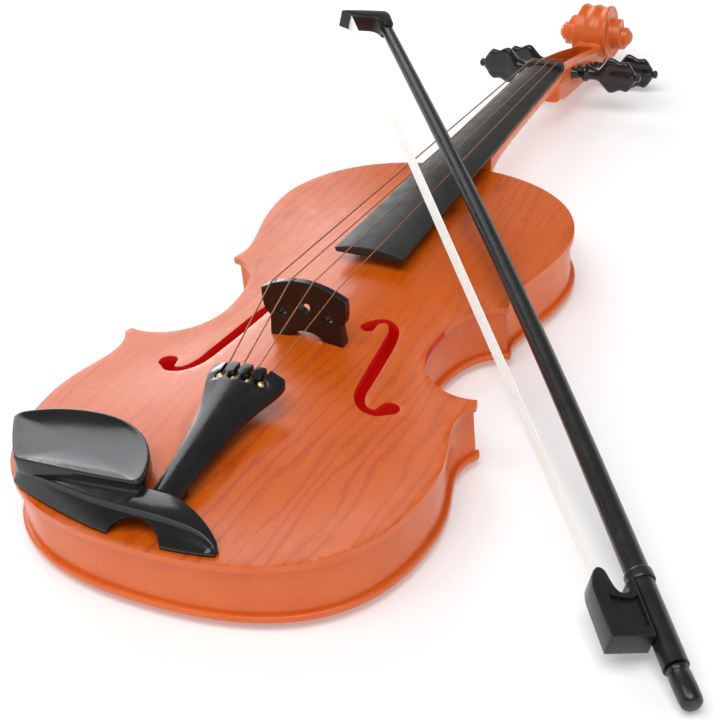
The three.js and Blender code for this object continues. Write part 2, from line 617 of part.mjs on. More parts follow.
function bowFrog() {
  const shape = new THREE.Shape();
  shape.moveTo(FROG.rear, frogTopZ(FROG.rear));
  shape.lineTo(FROG.rear + 0.8, FROG.bottomZ);
  shape.lineTo(FROG.tongue - 8, FROG.noseZ);
  shape.quadraticCurveTo(FROG.tongue - 2, FROG.noseZ + 0.6, FROG.tongue, FROG.noseZ + 4);
  shape.quadraticCurveTo(FROG.tongue, FROG.noseZ + 6.2, FROG.tongue - 3, FROG.noseZ + 6.4);
  shape.bezierCurveTo(42.4, -10.2, 39.8, -9.6, 39.8, -7.6);
  shape.quadraticCurveTo(40, -5.6, 43, -5.6);
  shape.quadraticCurveTo(FROG.front, -5.4, FROG.front, frogTopZ(FROG.front));
  shape.closePath();
  const eyelet = cylinderZ(EYELET.radius, EYELET.tall, 10)
    .translate(30, 0, screwZ + EYELET.aboveScrew - EYELET.tall / 2);
  const threads = cylinderX(0.8, 6, 10).translate(30, 0, screwZ);
  const channel = block([16, 2 * HAIR.half + 0.8, 1.6], [FROG.tongue - 0.5, 0, hairZ(FROG.tongue)]);
  return cut(join(sideView(shape, FROG.half), eyelet), threads, channel);
}

const bowHair = () => loft([HAIR.start, HAIR.end].map((x) =>
  [[-1, -1], [1, -1], [1, 1], [-1, 1]].map(([y, z]) =>
    new THREE.Vector3(x, y * HAIR.half, hairZ(x) + (z * HAIR.thick) / 2))));

function bowScrew() {
  const button = loft([[0, 2.4], [0.8, 3.3], [6, 3.7], [12.5, 3.5], [BOW.buttonLength, 3.2]]
    .map(([x, radius]) => roundAt(x, screwZ * 0.35, radius)));
  const rod = cylinderX(0.65, 36, 10).translate(29, 0, screwZ);
  return join(button, rod);
}

const bowCollar = () => {
  const middle = (BOW.collarStart + BOW.collarEnd) / 2;
  const hole = stickRadius(BOW.collarStart) + GAP;
  const outside = loft([BOW.collarStart, BOW.collarStart + 1, BOW.collarEnd - 1, BOW.collarEnd].map((x, i) =>
    roundAt(x, stickZ(middle), i % 3 === 0 ? hole + 0.3 : hole + 0.5, 14)));
  return cut(outside, cylinderX(hole, 30, 16).translate(middle, 0, stickZ(middle)));
};

// ---- the assembly ----
const violin = new THREE.Group();
violin.position.y = -BODY_MIDDLE_Y;
const bow = new THREE.Group();
violin.add(bow);

const toTip = BOW_CROSSING.clone().sub(BOW_BUTT).normalize();
const level = new THREE.Vector3(0, 0, 1).cross(toTip).normalize();
const hairWay = level.clone().applyAxisAngle(toTip, BOW_TILT);
const bowUp = hairWay.clone().negate();
bow.quaternion.setFromRotationMatrix(new THREE.Matrix4().makeBasis(toTip, bowUp.clone().cross(toTip), bowUp));
bow.position.copy(BOW_BUTT);

function add(name, geometry, material, parent = violin) {
  const mesh = new THREE.Mesh(closed(geometry), material);
  mesh.name = name;
  parent.add(mesh);
  return mesh;
}

add('top_plate', topPlate(), ORANGE_TOP);
add('rib_shell', ribShell(), ORANGE_SIDE);
add('back_plate', backPlate(), ORANGE_SIDE);
add('neck', neck(), ORANGE_SIDE);
add('fingerboard', fingerboard(), BOARD_GREY);
add('nut', nut(), BOARD_GREY);
add('bridge', bridge(), BRIDGE_BROWN);
add('tailpiece', tailpiece(), BLACK);
add('chin_rest', chinRest(), BLACK);
add('bass_bar', bassBar(), WOOD);
add('sound_post', soundPost(), WOOD);
add('neck_block', neckBlock(), WOOD);

for (const string of STRINGS) {
  const { name, pegY, headSide } = string;
  add(`string_${name}`, stringWire(string), STEEL);
  add(`ball_end_${name}`, ballEnd(), BRASS).position.set(string.x * 0.62, TAILPIECE.highY - 6.4, BALL_Z);
  add(`peg_${name}`, peg(headSide), BLACK).position.set(0, pegY, pegZ(pegY));
  add(`string_winding_${name}`, ring(WINDING.inner, WINDING.outer, WINDING.half), STEEL)
    .position.set(string.nutX * 0.55, pegY, pegZ(pegY));
}

BACK_SCREWS.forEach(([x, y], i) => {
  add(`back_screw_${i + 1}`, screw(11), STEEL).position.set(x, y, backZ(x, y) + 0.2);
});
NECK_SCREWS_Z.forEach((z, i) => {
  const mesh = add(`neck_screw_${i + 1}`, screw(20, 2.8, 1.2), STEEL);
  mesh.rotation.x = -Math.PI / 2;
  mesh.position.set(0, 249.2, z);
});
CHIN_SCREWS.forEach(([x, y], i) => {
  add(`chin_rest_screw_${i + 1}`, screw(8), STEEL).position.set(x, y, topZ(x, y) - PLATE - 1.2);
});
add('tailpiece_screw', screw(9), STEEL).position.set(0, TAIL_FOOT_Y, topZ(0, TAIL_FOOT_Y) - PLATE - 1.2);

add('bow_stick', bowStick(), BLACK, bow);
add('bow_hair', bowHair(), HAIR_WHITE, bow);
add('bow_collar', bowCollar(), BLACK, bow);
add('bow_frog', bowFrog(), BLACK, bow);
add('bow_screw', bowScrew(), BLACK, bow);

export default violin;
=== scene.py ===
"""A small plastic violin with its bow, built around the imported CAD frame."""

import math

import bmesh
import bpy
import numpy as np
from mathutils import Matrix, Vector
from mathutils.geometry import delaunay_2d_cdt


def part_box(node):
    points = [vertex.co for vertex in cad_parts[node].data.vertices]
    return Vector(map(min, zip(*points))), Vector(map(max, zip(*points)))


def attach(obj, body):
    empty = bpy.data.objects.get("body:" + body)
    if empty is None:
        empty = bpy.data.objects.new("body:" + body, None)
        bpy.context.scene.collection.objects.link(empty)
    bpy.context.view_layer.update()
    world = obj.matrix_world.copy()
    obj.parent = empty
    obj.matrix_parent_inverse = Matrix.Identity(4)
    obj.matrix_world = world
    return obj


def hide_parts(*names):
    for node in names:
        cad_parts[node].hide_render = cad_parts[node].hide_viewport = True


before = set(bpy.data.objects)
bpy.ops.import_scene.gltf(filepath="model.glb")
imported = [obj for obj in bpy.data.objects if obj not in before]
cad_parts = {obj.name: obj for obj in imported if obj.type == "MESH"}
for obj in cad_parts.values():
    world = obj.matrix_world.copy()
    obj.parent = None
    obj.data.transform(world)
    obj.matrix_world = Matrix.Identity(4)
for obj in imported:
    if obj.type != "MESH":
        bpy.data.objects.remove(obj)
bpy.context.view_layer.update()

# ---- driving dimensions, in millimetres from the tail end of the body ----
MM = 0.001
BODY_LENGTH = 267.0
BODY_MIDDLE_Y = BODY_LENGTH / 2
LOWER, LOWER_Y = 75.2, 63.0
WAIST, WAIST_Y = 42.0, 135.0
UPPER, UPPER_Y = 64.4, 217.0
BACK_RISE = 3.0
TOP_EDGE_Z = 26.75
PLATE = 2.6
TOP_CROWN = 4.5
OVERHANG = 1.8
RIB_WALL = 2.0
GAP = 0.15
BRIDGE_Y = 121.0
BRIDGE_CROWN_Z, BRIDGE_CORNER_Z, BRIDGE_CORNER_X = 54.4, 49.4, 17.0
NUT_Y, NUT_LENGTH, NUT_TOP_Z = 361.0, 3.6, 34.2
BOARD_END_Y, BOARD_END_HALF, BOARD_NUT_HALF = 171.75, 15.0, 8.9
BOARD_END_Z, BOARD_NUT_Z, BOARD_THICK, BOARD_CROWN = 39.0, 33.0, 3.6, 2.2
PEG_AXIS_Y, PEG_AXIS_Z, PEG_SLOPE = 381.0, 21.75, 0.366
SCROLL_Y, SCROLL_Z = 435.0, 18.0
TAIL_LOW_Y, TAIL_HIGH_Y, TAIL_LOW_Z, TAIL_HIGH_Z = 19.4, 79.0, 34.2, 44.5
TAIL_LOW_HALF, TAIL_FOOT_Y, BALL_Z = 5.2, 27.0, 42.4
# the strings close up towards the tailpiece, and each ends in a keyhole
TAIL_SPREAD = 0.62
KEYHOLE_Y, KEYHOLE_RADIUS = TAIL_HIGH_Y - 6.4, 2.05
PEG_BORE_RADIUS = 3.15
BACK_SCREWS = [(-36, 30), (36, 30), (-36, 158), (36, 158), (-34, 232), (34, 232)]
# name: x at the bridge, x at the nut, radius, y of the peg, side of the peg's head
STRINGS = {
    "g": (-12.6, -6.3, 0.3, 377.0, -1),
    "d": (-4.3, -2.1, 0.27, 404.5, -1),
    "a": (4.3, 2.1, 0.23, 413.0, 1),
    "e": (12.6, 6.3, 0.2, 385.5, 1),
}
BOW_LENGTH, BOW_CAMBER = 379.0, 4.5
BOW_BUTT_RADIUS, BOW_TIP_RADIUS = 4.3, 2.6
BUTTON_LENGTH, STICK_START = 13.5, 14.0
COLLAR_START, COLLAR_END = 45.9, 50.0
HAIR_START, HAIR_END, HAIR_START_Z, HAIR_END_Z = 43.5, 376.0, -12.4, -15.6
HAIR_HALF = 3.1
FROG_REAR, FROG_FRONT, FROG_TONGUE, FROG_HALF = 23.0, 45.5, 50.5, 4.3
FROG_BOTTOM_Z, FROG_NOSE_Z, FROG_TRAVEL = -17.8, -17.0, 2.4
BOW_BUTT = Vector((173.5, 19.7, 4.0))
BOW_CROSSING = Vector((17.9, 215.7, 48.4))
BOW_TILT = math.radians(13)

TAIL_FRAME = Matrix.Translation((0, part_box("top_plate")[0].y, 0)) @ Matrix.Scale(MM, 4)


def bow_frame():
    """The bow's own axes: X from its screw to its tip, Z away from the hair."""
    to_tip = (BOW_CROSSING - BOW_BUTT).normalized()
    level = Vector((0, 0, 1)).cross(to_tip).normalized()
    up = -(Matrix.Rotation(BOW_TILT, 3, to_tip) @ level)
    side = up.cross(to_tip)
    turn = Matrix((to_tip, side, up)).transposed().to_4x4()
    return TAIL_FRAME @ Matrix.Translation(BOW_BUTT) @ turn


BOW_FRAME = bow_frame()


# ---- material nodes ----
def new_material(name, color, roughness, **inputs):
    material = bpy.data.materials.new(name)
    material.use_nodes = True
    shader = material.node_tree.nodes["Principled BSDF"]
    shader.inputs["Base Color"].default_value = (*color, 1)
    shader.inputs["Roughness"].default_value = roughness
    for key, value in inputs.items():
        shader.inputs[key.replace("_", " ")].default_value = value
    return material


def node(material, kind, **settings):
    made = material.node_tree.nodes.new(kind)
    for key, value in settings.items():
        if key in made.inputs:
            made.inputs[key].default_value = value
        else:
            setattr(made, key, value)
    return made


def link(material, source, target):
    material.node_tree.links.new(source, target)


def drive(material, output, socket):
    """Feeds one socket of the material's shader."""
    link(material, output, shader_of(material).inputs[socket])


def place_of(material, scale):
    """Object coordinates in metres, scaled along each axis."""
    coordinates = node(material, "ShaderNodeTexCoord")
    mapping = node(material, "ShaderNodeMapping", Scale=scale)
    link(material, coordinates.outputs["Object"], mapping.inputs["Vector"])
    return mapping.outputs["Vector"]


def noise(material, vector, scale, detail=2.0, distortion=0.0):
    made = node(material, "ShaderNodeTexNoise", Scale=scale, Detail=detail, Distortion=distortion)
    link(material, vector, made.inputs["Vector"])
    return made.outputs["Fac"]


def ramp(material, factor, stops):
    made = node(material, "ShaderNodeValToRGB")
    elements = made.color_ramp.elements
    while len(elements) < len(stops):
        elements.new(0.5)
    for element, (position, color) in zip(elements, stops):
        element.position = position
        element.color = (*color, 1) if len(color) == 3 else color
    link(material, factor, made.inputs["Fac"])
    return made.outputs["Color"]


def spread(material, factor, low, high, low_in=0.3, high_in=0.7):
    made = node(material, "ShaderNodeMapRange")
    made.inputs["From Min"].default_value = low_in
    made.inputs["From Max"].default_value = high_in
    made.inputs["To Min"].default_value = low
    made.inputs["To Max"].default_value = high
    link(material, factor, made.inputs["Value"])
    return made.outputs["Result"]


def shader_of(material):
    return material.node_tree.nodes["Principled BSDF"]


def bump(material, height, strength, distance):
    made = node(material, "ShaderNodeBump", Strength=strength, Distance=distance)
    link(material, height, made.inputs["Height"])
    drive(material, made.outputs["Normal"], "Normal")


# ---- materials ----
def moulded(name, color, dark, roughness, coat=0.3, grain=900.0):
    """Moulded plastic: faint mottling of the colour, uneven gloss and a very fine orange-peel."""
    material = new_material(name, color, roughness, Coat_Weight=coat, Coat_Roughness=0.12)
    spot = place_of(material, (1, 1, 1))
    mottle = noise(material, spot, 60.0, 3.0)
    mottled = ramp(material, mottle, [(0.3, dark), (0.7, color)])
    drive(material, mottled, "Base Color")
    smear = noise(material, spot, 140.0, 4.0, 0.4)
    gloss = spread(material, smear, roughness * 0.8, roughness * 1.35)
    drive(material, gloss, "Roughness")
    bump(material, noise(material, spot, grain, 2.0), 0.12, 0.0002)
    return material


def printed_wood():
    """Glossy orange plastic printed with wavy, long wood grain."""
    light, middle, dark = (0.640, 0.106, 0.002), (0.610, 0.095, 0.002), (0.440, 0.052, 0.001)
    material = new_material("printed_wood", light, 0.3)
    figure = place_of(material, (1.0, 0.16, 0.3))
    bend = noise(material, place_of(material, (1.0, 0.35, 0.3)), 14.0, 2.0)
    bands = node(material, "ShaderNodeTexWave", wave_type="RINGS", rings_direction="Z", Scale=64.0,
                 Distortion=16.0, Detail=2.5)
    bands.inputs["Detail Scale"].default_value = 0.9
    bands.inputs["Detail Roughness"].default_value = 0.6
    link(material, figure, bands.inputs["Vector"])
    fine = noise(material, place_of(material, (1.0, 0.05, 0.3)), 1100.0, 3.0)
    grain = ramp(material, bands.outputs["Fac"], [(0.0, dark), (0.22, middle), (0.6, light)])
    faded = node(material, "ShaderNodeMix", data_type="RGBA")
    faded.inputs[6].default_value = (*light, 1)
    link(material, spread(material, bend, 0.15, 0.75), faded.inputs[0])
    link(material, grain, faded.inputs[7])
    streak = ramp(material, fine, [(0.35, (0.93, 0.9, 0.85)), (0.62, (1, 1, 1))])
    lines = node(material, "ShaderNodeMix", data_type="RGBA", blend_type="MULTIPLY")
    lines.inputs[0].default_value = 0.8
    link(material, faded.outputs[2], lines.inputs[6])
    link(material, streak, lines.inputs[7])
    drive(material, lines.outputs[2], "Base Color")
    smear = noise(material, place_of(material, (1, 1, 1)), 120.0, 3.0, 0.5)
    drive(material, spread(material, smear, 0.24, 0.36), "Roughness")
    bump(material, noise(material, place_of(material, (1, 0.6, 1)), 300.0, 2.0), 0.1, 0.0002)
    return material


def painted_glow_red():
    """The inside of the thin shell: deep red with emission, a painted glow for the light that comes through
    its walls.
    """
    material = moulded("inside_painted_glow", (0.340, 0.002, 0.001), (0.300, 0.001, 0.001), 0.6, 0.0)
    shader_of(material).inputs["Emission Color"].default_value = (0.30, 0.002, 0.001, 1)
    shader_of(material).inputs["Emission Strength"].default_value = 0.8
    return material


def hair_material():
    material = new_material("horsehair", (0.93, 0.91, 0.87), 0.45, Sheen_Weight=0.3)
    strands = noise(material, place_of(material, (1, 1, 1)), 2500.0, 2.0)
    color = ramp(material, strands, [(0.3, (0.82, 0.79, 0.74)), (0.6, (0.97, 0.96, 0.93))])
    drive(material, color, "Base Color")
    return material


def metal_material(name, color, roughness):
    material = new_material(name, color, roughness, Metallic=1.0)
    spot = place_of(material, (1, 1, 1))
    tarnish = noise(material, spot, 500.0, 3.0)
    dull = tuple(c * 0.75 for c in color)
    tarnished = ramp(material, tarnish, [(0.3, dull), (0.7, color)])
    drive(material, tarnished, "Base Color")
    gloss = spread(material, tarnish, roughness * 0.7, roughness * 1.5)
    drive(material, gloss, "Roughness")
    return material


def inner_wood():
    material = new_material("inner_wood", (0.55, 0.36, 0.18), 0.6)
    grain = noise(material, place_of(material, (1, 0.06, 1)), 700.0, 3.0)
    link(material, ramp(material, grain, [(0.3, (0.42, 0.25, 0.11)), (0.7, (0.60, 0.41, 0.22))]),
         shader_of(material).inputs["Base Color"])
    return material


TOP = printed_wood()
SIDE = moulded("side_plastic", (0.740, 0.138, 0.018), (0.690, 0.118, 0.013), 0.3, 0.1)
# painted glow: emissive deep red standing in for light through the shell's thin walls
PAINTED_GLOW_RED = painted_glow_red()
BLACK = moulded("black_plastic", (0.010, 0.010, 0.011), (0.007, 0.007, 0.008), 0.16, 0.0)
BOW_BLACK = moulded("bow_black", (0.014, 0.014, 0.013), (0.010, 0.010, 0.010), 0.25, 0.0)
BOARD = moulded("board_plastic", (0.014, 0.015, 0.013), (0.010, 0.011, 0.009), 0.45, 0.0)
BRIDGE = moulded("bridge_plastic", (0.013, 0.008, 0.007), (0.007, 0.004, 0.004), 0.24, 0.0)
WOOD = inner_wood()
STEEL = metal_material("steel", (0.62, 0.63, 0.65), 0.25)
WIRE = metal_material("string_wire", (0.42, 0.20, 0.10), 0.5)
BRASS = metal_material("brass", (0.80, 0.60, 0.28), 0.28)
HAIR = hair_material()


# ---- meshes ----
def smooth(t):
    t = min(max(t, 0.0), 1.0)
    return t * t * (3 - 2 * t)


def mix(a, b, t):
    return a + (b - a) * t


def curve_through(stations, steps):
    """Catmull-Rom through rows of numbers: steps rows for each gap between stations."""
    rows = np.array(stations, float)
    padded = np.vstack([2 * rows[0] - rows[1], rows, 2 * rows[-1] - rows[-2]])
    out = []
    for i in range(len(rows) - 1):
        p0, p1, p2, p3 = padded[i:i + 4]
        for k in range(steps):
            t = k / steps
            out.append(0.5 * (2 * p1 + (p2 - p0) * t + (2 * p0 - 5 * p1 + 4 * p2 - p3) * t ** 2
                              + (3 * p1 - p0 - 3 * p2 + p3) * t ** 3))
    out.append(rows[-1])
    return out


def superellipse(half_a, half_b, power, count):
    points = []
    for i in range(count):
        angle = (i + 0.5) / count * 2 * math.pi
        c, s = math.cos(angle), math.sin(angle)
        points.append((half_a * math.copysign(abs(c) ** (2 / power), c),
                       half_b * math.copysign(abs(s) ** (2 / power), s)))
    return points


def loft(rings, closed_ends=True):
    """Vertices and faces of a skin over rings that all have the same count."""
    count = len(rings[0])
    verts = [tuple(p) for ring in rings for p in ring]
    faces = []
    for r in range(len(rings) - 1):
        for i in range(count):
            j = (i + 1) % count
            faces.append((r * count + i, r * count + j, (r + 1) * count + j, (r + 1) * count + i))
    if closed_ends:
        faces.append(tuple(reversed(range(count))))
        faces.append(tuple(range((len(rings) - 1) * count, len(rings) * count)))
    return verts, faces


def joined(*shapes):
    verts, faces = [], []
    for more_verts, more_faces in shapes:
        start = len(verts)
        verts += list(more_verts)
        faces += [tuple(start + i for i in face) for face in more_faces]
    return verts, faces


def raw_object(name, shape, placed=TAIL_FRAME):
    verts, faces = shape
    mesh = bpy.data.meshes.new(name)
    mesh.from_pydata([placed @ Vector(v) for v in verts], [], faces)
    work = bmesh.new()
    work.from_mesh(mesh)
    bmesh.ops.remove_doubles(work, verts=work.verts, dist=1e-7)
    bmesh.ops.recalc_face_normals(work, faces=work.faces)
    work.to_mesh(mesh)
    work.free()
    made = bpy.data.objects.new(name, mesh)
    bpy.context.scene.collection.objects.link(made)
    return made


def baked(made):
    """The object's modifiers applied to its mesh."""
    graph = bpy.context.evaluated_depsgraph_get()
    mesh = bpy.data.meshes.new_from_object(made.evaluated_get(graph))
    made.modifiers.clear()
    made.data = mesh
    return made


def bevelled(made, width, segments=3, angle=35.0):
    modifier = made.modifiers.new("bevel", "BEVEL")
    modifier.width = width * MM
    modifier.segments = segments
    modifier.limit_method = "ANGLE"
    modifier.angle_limit = math.radians(angle)
    modifier.harden_normals = False
    return baked(made)


def remeshed(made, voxel, smoothing=6):
    modifier = made.modifiers.new("remesh", "REMESH")
    modifier.mode = "VOXEL"
    modifier.voxel_size = voxel * MM
    relax = made.modifiers.new("relax", "SMOOTH")
    relax.factor = 0.5
    relax.iterations = smoothing
    return baked(made)


def cut(made, *tools):
    for tool in tools:
        modifier = made.modifiers.new("cut", "BOOLEAN")
        modifier.operation = "DIFFERENCE"
        modifier.solver = "EXACT"
        modifier.object = tool
        baked(made)
        bpy.data.objects.remove(tool)
    return made


def united(made, *others):
    for other in others:
        modifier = made.modifiers.new("join", "BOOLEAN")
        modifier.operation = "UNION"
        modifier.solver = "EXACT"
        modifier.object = other
        baked(made)
        bpy.data.objects.remove(other)
    return made


def finished(made, material, slot, body, *nodes, sharp=38.0):
    """Gives a piece its material and smooth shading, and puts it on its body in place of CAD nodes."""
    if not made.data.materials:
        made.data.materials.append(material)
    made.data.shade_smooth()
    made.data.set_sharp_from_angle(angle=math.radians(sharp))
    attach(made, body)
    if nodes:
        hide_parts(*nodes)
    return made


def tube(points, radius, sides=10):
    """A round wire through points, with its rings square to the bisector at each point."""
    path = [Vector(p) for p in points]
    rings = []
    up = Vector((0, 0, 1))
    for i, point in enumerate(path):
        along = (path[min(i + 1, len(path) - 1)] - path[max(i - 1, 0)]).normalized()
        side = along.cross(up).normalized()
        up = side.cross(along)
        rings.append([point + radius * (math.cos(a) * side + math.sin(a) * up)
                      for a in (2 * math.pi * k / sides for k in range(sides))])
    return loft(rings)


def lathe(profile, sides=40):
    """A turned shape round X: profile is (x, radius) pairs, closed at both ends by their radius of 0."""
    rings = [[(x, radius * math.cos(a), radius * math.sin(a))
              for a in (2 * math.pi * k / sides for k in range(sides))]
             for x, radius in ((x, max(radius, 0.001)) for x, radius in profile)]
    return loft(rings)


def cylinder(axis, radius, low, high, centre, sides=32):
    """A plain round cutter along an axis, from low to high, with its centre in the other two."""
    rings = []
    for end in (low, high):
        ring = []
        for k in range(sides):
            a = 2 * math.pi * k / sides
            u, v = centre[0] + radius * math.cos(a), centre[1] + radius * math.sin(a)
            ring.append({"x": (end, u, v), "y": (u, end, v), "z": (u, v, end)}[axis])
        rings.append(ring)
    return loft(rings)


def box_shape(low, high):
    (x0, y0, z0), (x1, y1, z1) = low, high
    return loft([[(x0, y0, z), (x1, y0, z), (x1, y1, z), (x0, y1, z)] for z in (z0, z1)])


# ---- the body's outline and arching ----
RIGHT_HALF = [
    [(0, 0), (0.73 * LOWER, 0), (LOWER, 0.37 * LOWER_Y), (LOWER, LOWER_Y)],
    [(LOWER, LOWER_Y), (LOWER, LOWER_Y + 20), (62.5, 94), (71.4, 106.4)],
    [(70.6, 109.6), (58, 106.5), (WAIST + 0.5, 117), (WAIST, WAIST_Y)],
    [(WAIST, WAIST_Y), (WAIST - 0.3, 151), (46, 165.5), (58.9, 167.6)],
    [(58.3, 170.6), (54, 180), (UPPER, 194), (UPPER, UPPER_Y)],
    [(UPPER, UPPER_Y), (UPPER, UPPER_Y + 25), (0.65 * UPPER, BODY_LENGTH), (0, BODY_LENGTH)],
]


def cubic_point(p0, p1, p2, p3, t):
    return (1 - t) ** 3 * p0 + 3 * (1 - t) ** 2 * t * p1 + 3 * (1 - t) * t ** 2 * p2 + t ** 3 * p3


def right_half(steps):
    """Points along the right half, and the inward direction at each."""
    points, inward = [], []
    for curve in RIGHT_HALF:
        p0, p1, p2, p3 = (np.array(p, float) for p in curve)
        for i in range(steps + 1):
            t = i / steps
            points.append(cubic_point(p0, p1, p2, p3, t))
            d = (1 - t) ** 2 * (p1 - p0) + 2 * (1 - t) * t * (p2 - p1) + t ** 2 * (p3 - p2)
            d /= np.linalg.norm(d)
            inward.append(np.array((-d[1], d[0])))
    return np.array(points), np.array(inward)


def outline(inset, steps=26, apart=0.35):
    """The closed outline moved inwards, without the points that a corner folds over."""
    dense, _ = right_half(120)
    points, inward = right_half(steps)
    kept = []
    for moved in points + inset * inward:
        depth = np.min(np.linalg.norm(dense - moved, axis=1))
        if depth > inset * 0.99 - 0.02 and (not kept or np.linalg.norm(kept[-1] - moved) > apart):
            kept.append(moved)
    kept[0][0] = kept[-1][0] = 0
    left = [np.array((-p[0], p[1])) for p in kept[-2:0:-1]]
    return np.array(kept + left)


def arch_half(y):
    bands = [(0, 40), (LOWER_Y, LOWER), (WAIST_Y, WAIST + 3), (UPPER_Y, UPPER), (BODY_LENGTH, 36)]
    y = min(max(y, 0), BODY_LENGTH)
    for (y0, half0), (y1, half1) in zip(bands, bands[1:]):
        if y <= y1:
            return mix(half0, half1, smooth((y - y0) / (y1 - y0)))
    return bands[-1][1]


def arch(x, y):
    across = min(abs(x) / arch_half(y) / 0.92, 1)
    along = min(max((abs(y - BODY_MIDDLE_Y) / BODY_MIDDLE_Y - 0.45) / 0.5, 0), 1)
    return math.cos(across * math.pi / 2) ** 2 * math.cos(along * math.pi / 2) ** 2


def top_z(x, y):
    return TOP_EDGE_Z + TOP_CROWN * arch(x, y)


def back_z(x, y):
    return max(BACK_RISE * (1 - 1.25 * arch(x, y)), 0)


def inside(points, loop):
    """Which of the points lie inside a closed loop."""
    x, y = points[:, 0], points[:, 1]
    result = np.zeros(len(points), bool)
    for (x0, y0), (x1, y1) in zip(loop, np.roll(loop, -1, axis=0)):
        crosses = (y0 > y) != (y1 > y)
        with np.errstate(divide="ignore", invalid="ignore"):
            at = (x1 - x0) * (y - y0) / (y1 - y0) + x0
        result ^= crosses & (x < at)
    return result


def sheet_shape(loops, low_z, high_z, spacing):
    """A sheet between two height functions with an outer loop and holes, on a fine triangle grid."""
    outer = np.array(loops[0])
    low, high = outer.min(0), outer.max(0)
    grid = []
    if spacing:
        for row, y in enumerate(np.arange(low[1], high[1], spacing * 0.87)):
            for x in np.arange(low[0] + (row % 2) * spacing / 2, high[0], spacing):
                grid.append((x, y))
    grid = np.array(grid).reshape(-1, 2)
    if len(grid):
        grid = grid[inside(grid, outer)]
        edge_points = np.vstack(loops)
        far = [np.min(np.linalg.norm(edge_points - p, axis=1)) > spacing * 0.5 for p in grid]
        grid = grid[np.array(far)]
        for hole in loops[1:]:
            grid = grid[~inside(grid, np.array(hole))]
    points = np.vstack([*loops, grid])
    edges, start = [], 0
    for loop in loops:
        count = len(loop)
        edges += [(start + i, start + (i + 1) % count) for i in range(count)]
        start += count
    result = delaunay_2d_cdt([Vector(p) for p in points], edges, [], 1, 1e-7)
    flat = np.array([tuple(v) for v in result[0]])
    triangles = [tuple(f) for f in result[2]]
    centres = np.array([flat[list(f)].mean(0) for f in triangles])
    keep = inside(centres, outer)
    for hole in loops[1:]:
        keep &= ~inside(centres, np.array(hole))
    triangles = [f for f, k in zip(triangles, keep) if k]
    count = len(flat)
    verts = [(x, y, high_z(x, y)) for x, y in flat] + [(x, y, low_z(x, y)) for x, y in flat]
    faces = triangles + [tuple(reversed([i + count for i in f])) for f in triangles]
    used = {}
    for f in triangles:
        for a, b in zip(f, f[1:] + f[:1]):
            used[(a, b)] = True
    for a, b in used:
        if (b, a) not in used:
            faces.append((b, a, a + count, b + count))
    return verts, faces


SOUND_HOLE = [
    (16.8, 134.9, 2.7), (18.2, 139.2, 1.5), (21.7, 141.6, 1.2), (25.8, 138.2, 1.9),
    (27.6, 130.5, 2.4), (29.2, 118, 2.5), (30.8, 105, 2.4), (32.2, 96.4, 2.1),
    (36, 90.6, 1.6), (41.2, 89.8, 1.9), (44.6, 94, 3.7),
]


def sound_hole(side):
    rows = curve_through(SOUND_HOLE, 8)
    left, right = [], []
    for i, row in enumerate(rows):
        ahead = rows[min(i + 1, len(rows) - 1)] - rows[max(i - 1, 0)]
        d = ahead[:2] / np.linalg.norm(ahead[:2])
        normal = np.array((-d[1], d[0]))
        left.append(row[:2] + normal * row[2])
        right.append(row[:2] - normal * row[2])

    def cap(row, d):
        normal = np.array((-d[1], d[0]))
        angles = [math.pi * k / 8 for k in range(1, 8)]
        return [row[:2] + row[2] * (math.cos(a) * normal + math.sin(a) * d) for a in angles]

    first = rows[0][:2] - rows[1][:2]
    last = rows[-1][:2] - rows[-2][:2]
    end = cap(rows[-1], last / np.linalg.norm(last))
    start = cap(rows[0], first / np.linalg.norm(first))
    loop = left + end + right[::-1] + start
    return np.array([(side * x, y) for x, y in loop])


def paint(made, material, test):
    """Another material on the faces whose centre and normal pass the test."""
    index = len(made.data.materials)
    made.data.materials.append(material)
    for face in made.data.polygons:
        if test(face.center, face.normal):
            face.material_index = index


def circle(x, y, radius, count=28):
    angles = [2 * math.pi * k / count for k in range(count)]
    return np.array([(x + radius * math.cos(a), y + radius * math.sin(a)) for a in angles])


def make_body():
    holes = [sound_hole(1), sound_hole(-1)]
    sheet = sheet_shape([outline(0), *holes], lambda x, y: top_z(x, y) - PLATE, top_z, 3.0)
    top = bevelled(raw_object("violin_top", sheet), 0.75, 4, 60)
    top.data.materials.append(TOP)
    paint(top, SIDE, lambda c, n: n.z < 0.8 and not near_sound_hole(c))
    # the underside and the sound holes' walls get the painted red glow of light through the thin plastic
    paint(top, PAINTED_GLOW_RED, lambda c, n: n.z < -0.5 or (n.z < 0.35 and near_sound_hole(c)))
    finished(top, TOP, "orange_top", "violin", "top_plate", sharp=50)

    screw_holes = [circle(x, y, 2.8) for x, y in BACK_SCREWS]
    back = raw_object("violin_back", sheet_shape([outline(0), *screw_holes], back_z,
                                                 lambda x, y: back_z(x, y) + PLATE, 4.0))
    back = bevelled(back, 0.75, 4, 60)
    back.data.materials.append(SIDE)
    # the inside of the back gets the painted red glow of light through the thin plastic
    paint(back, PAINTED_GLOW_RED, lambda c, n: n.z > 0.5 and inner_reach(c))
    finished(back, SIDE, "orange_side", "violin", "back_plate", sharp=50)

    low, high = BACK_RISE + PLATE, TOP_EDGE_Z - PLATE
    ribs = raw_object("violin_ribs", sheet_shape([outline(OVERHANG, 30), outline(OVERHANG + RIB_WALL, 30)],
                                                 lambda x, y: low, lambda x, y: high, None))
    ribs.data.materials.append(SIDE)
    # the inner faces of the ribs get the painted red glow of light through the thin plastic
    paint(ribs, PAINTED_GLOW_RED, lambda c, n: abs(n.z) < 0.5 and facing_in(c))
    finished(ribs, SIDE, "orange_side", "violin", "rib_shell", sharp=50)


def near_sound_hole(centre):
    x, y = centre.x / MM, (centre.y - TAIL_FRAME.translation.y) / MM
    return 12 < abs(x) < 50 and 86 < y < 146


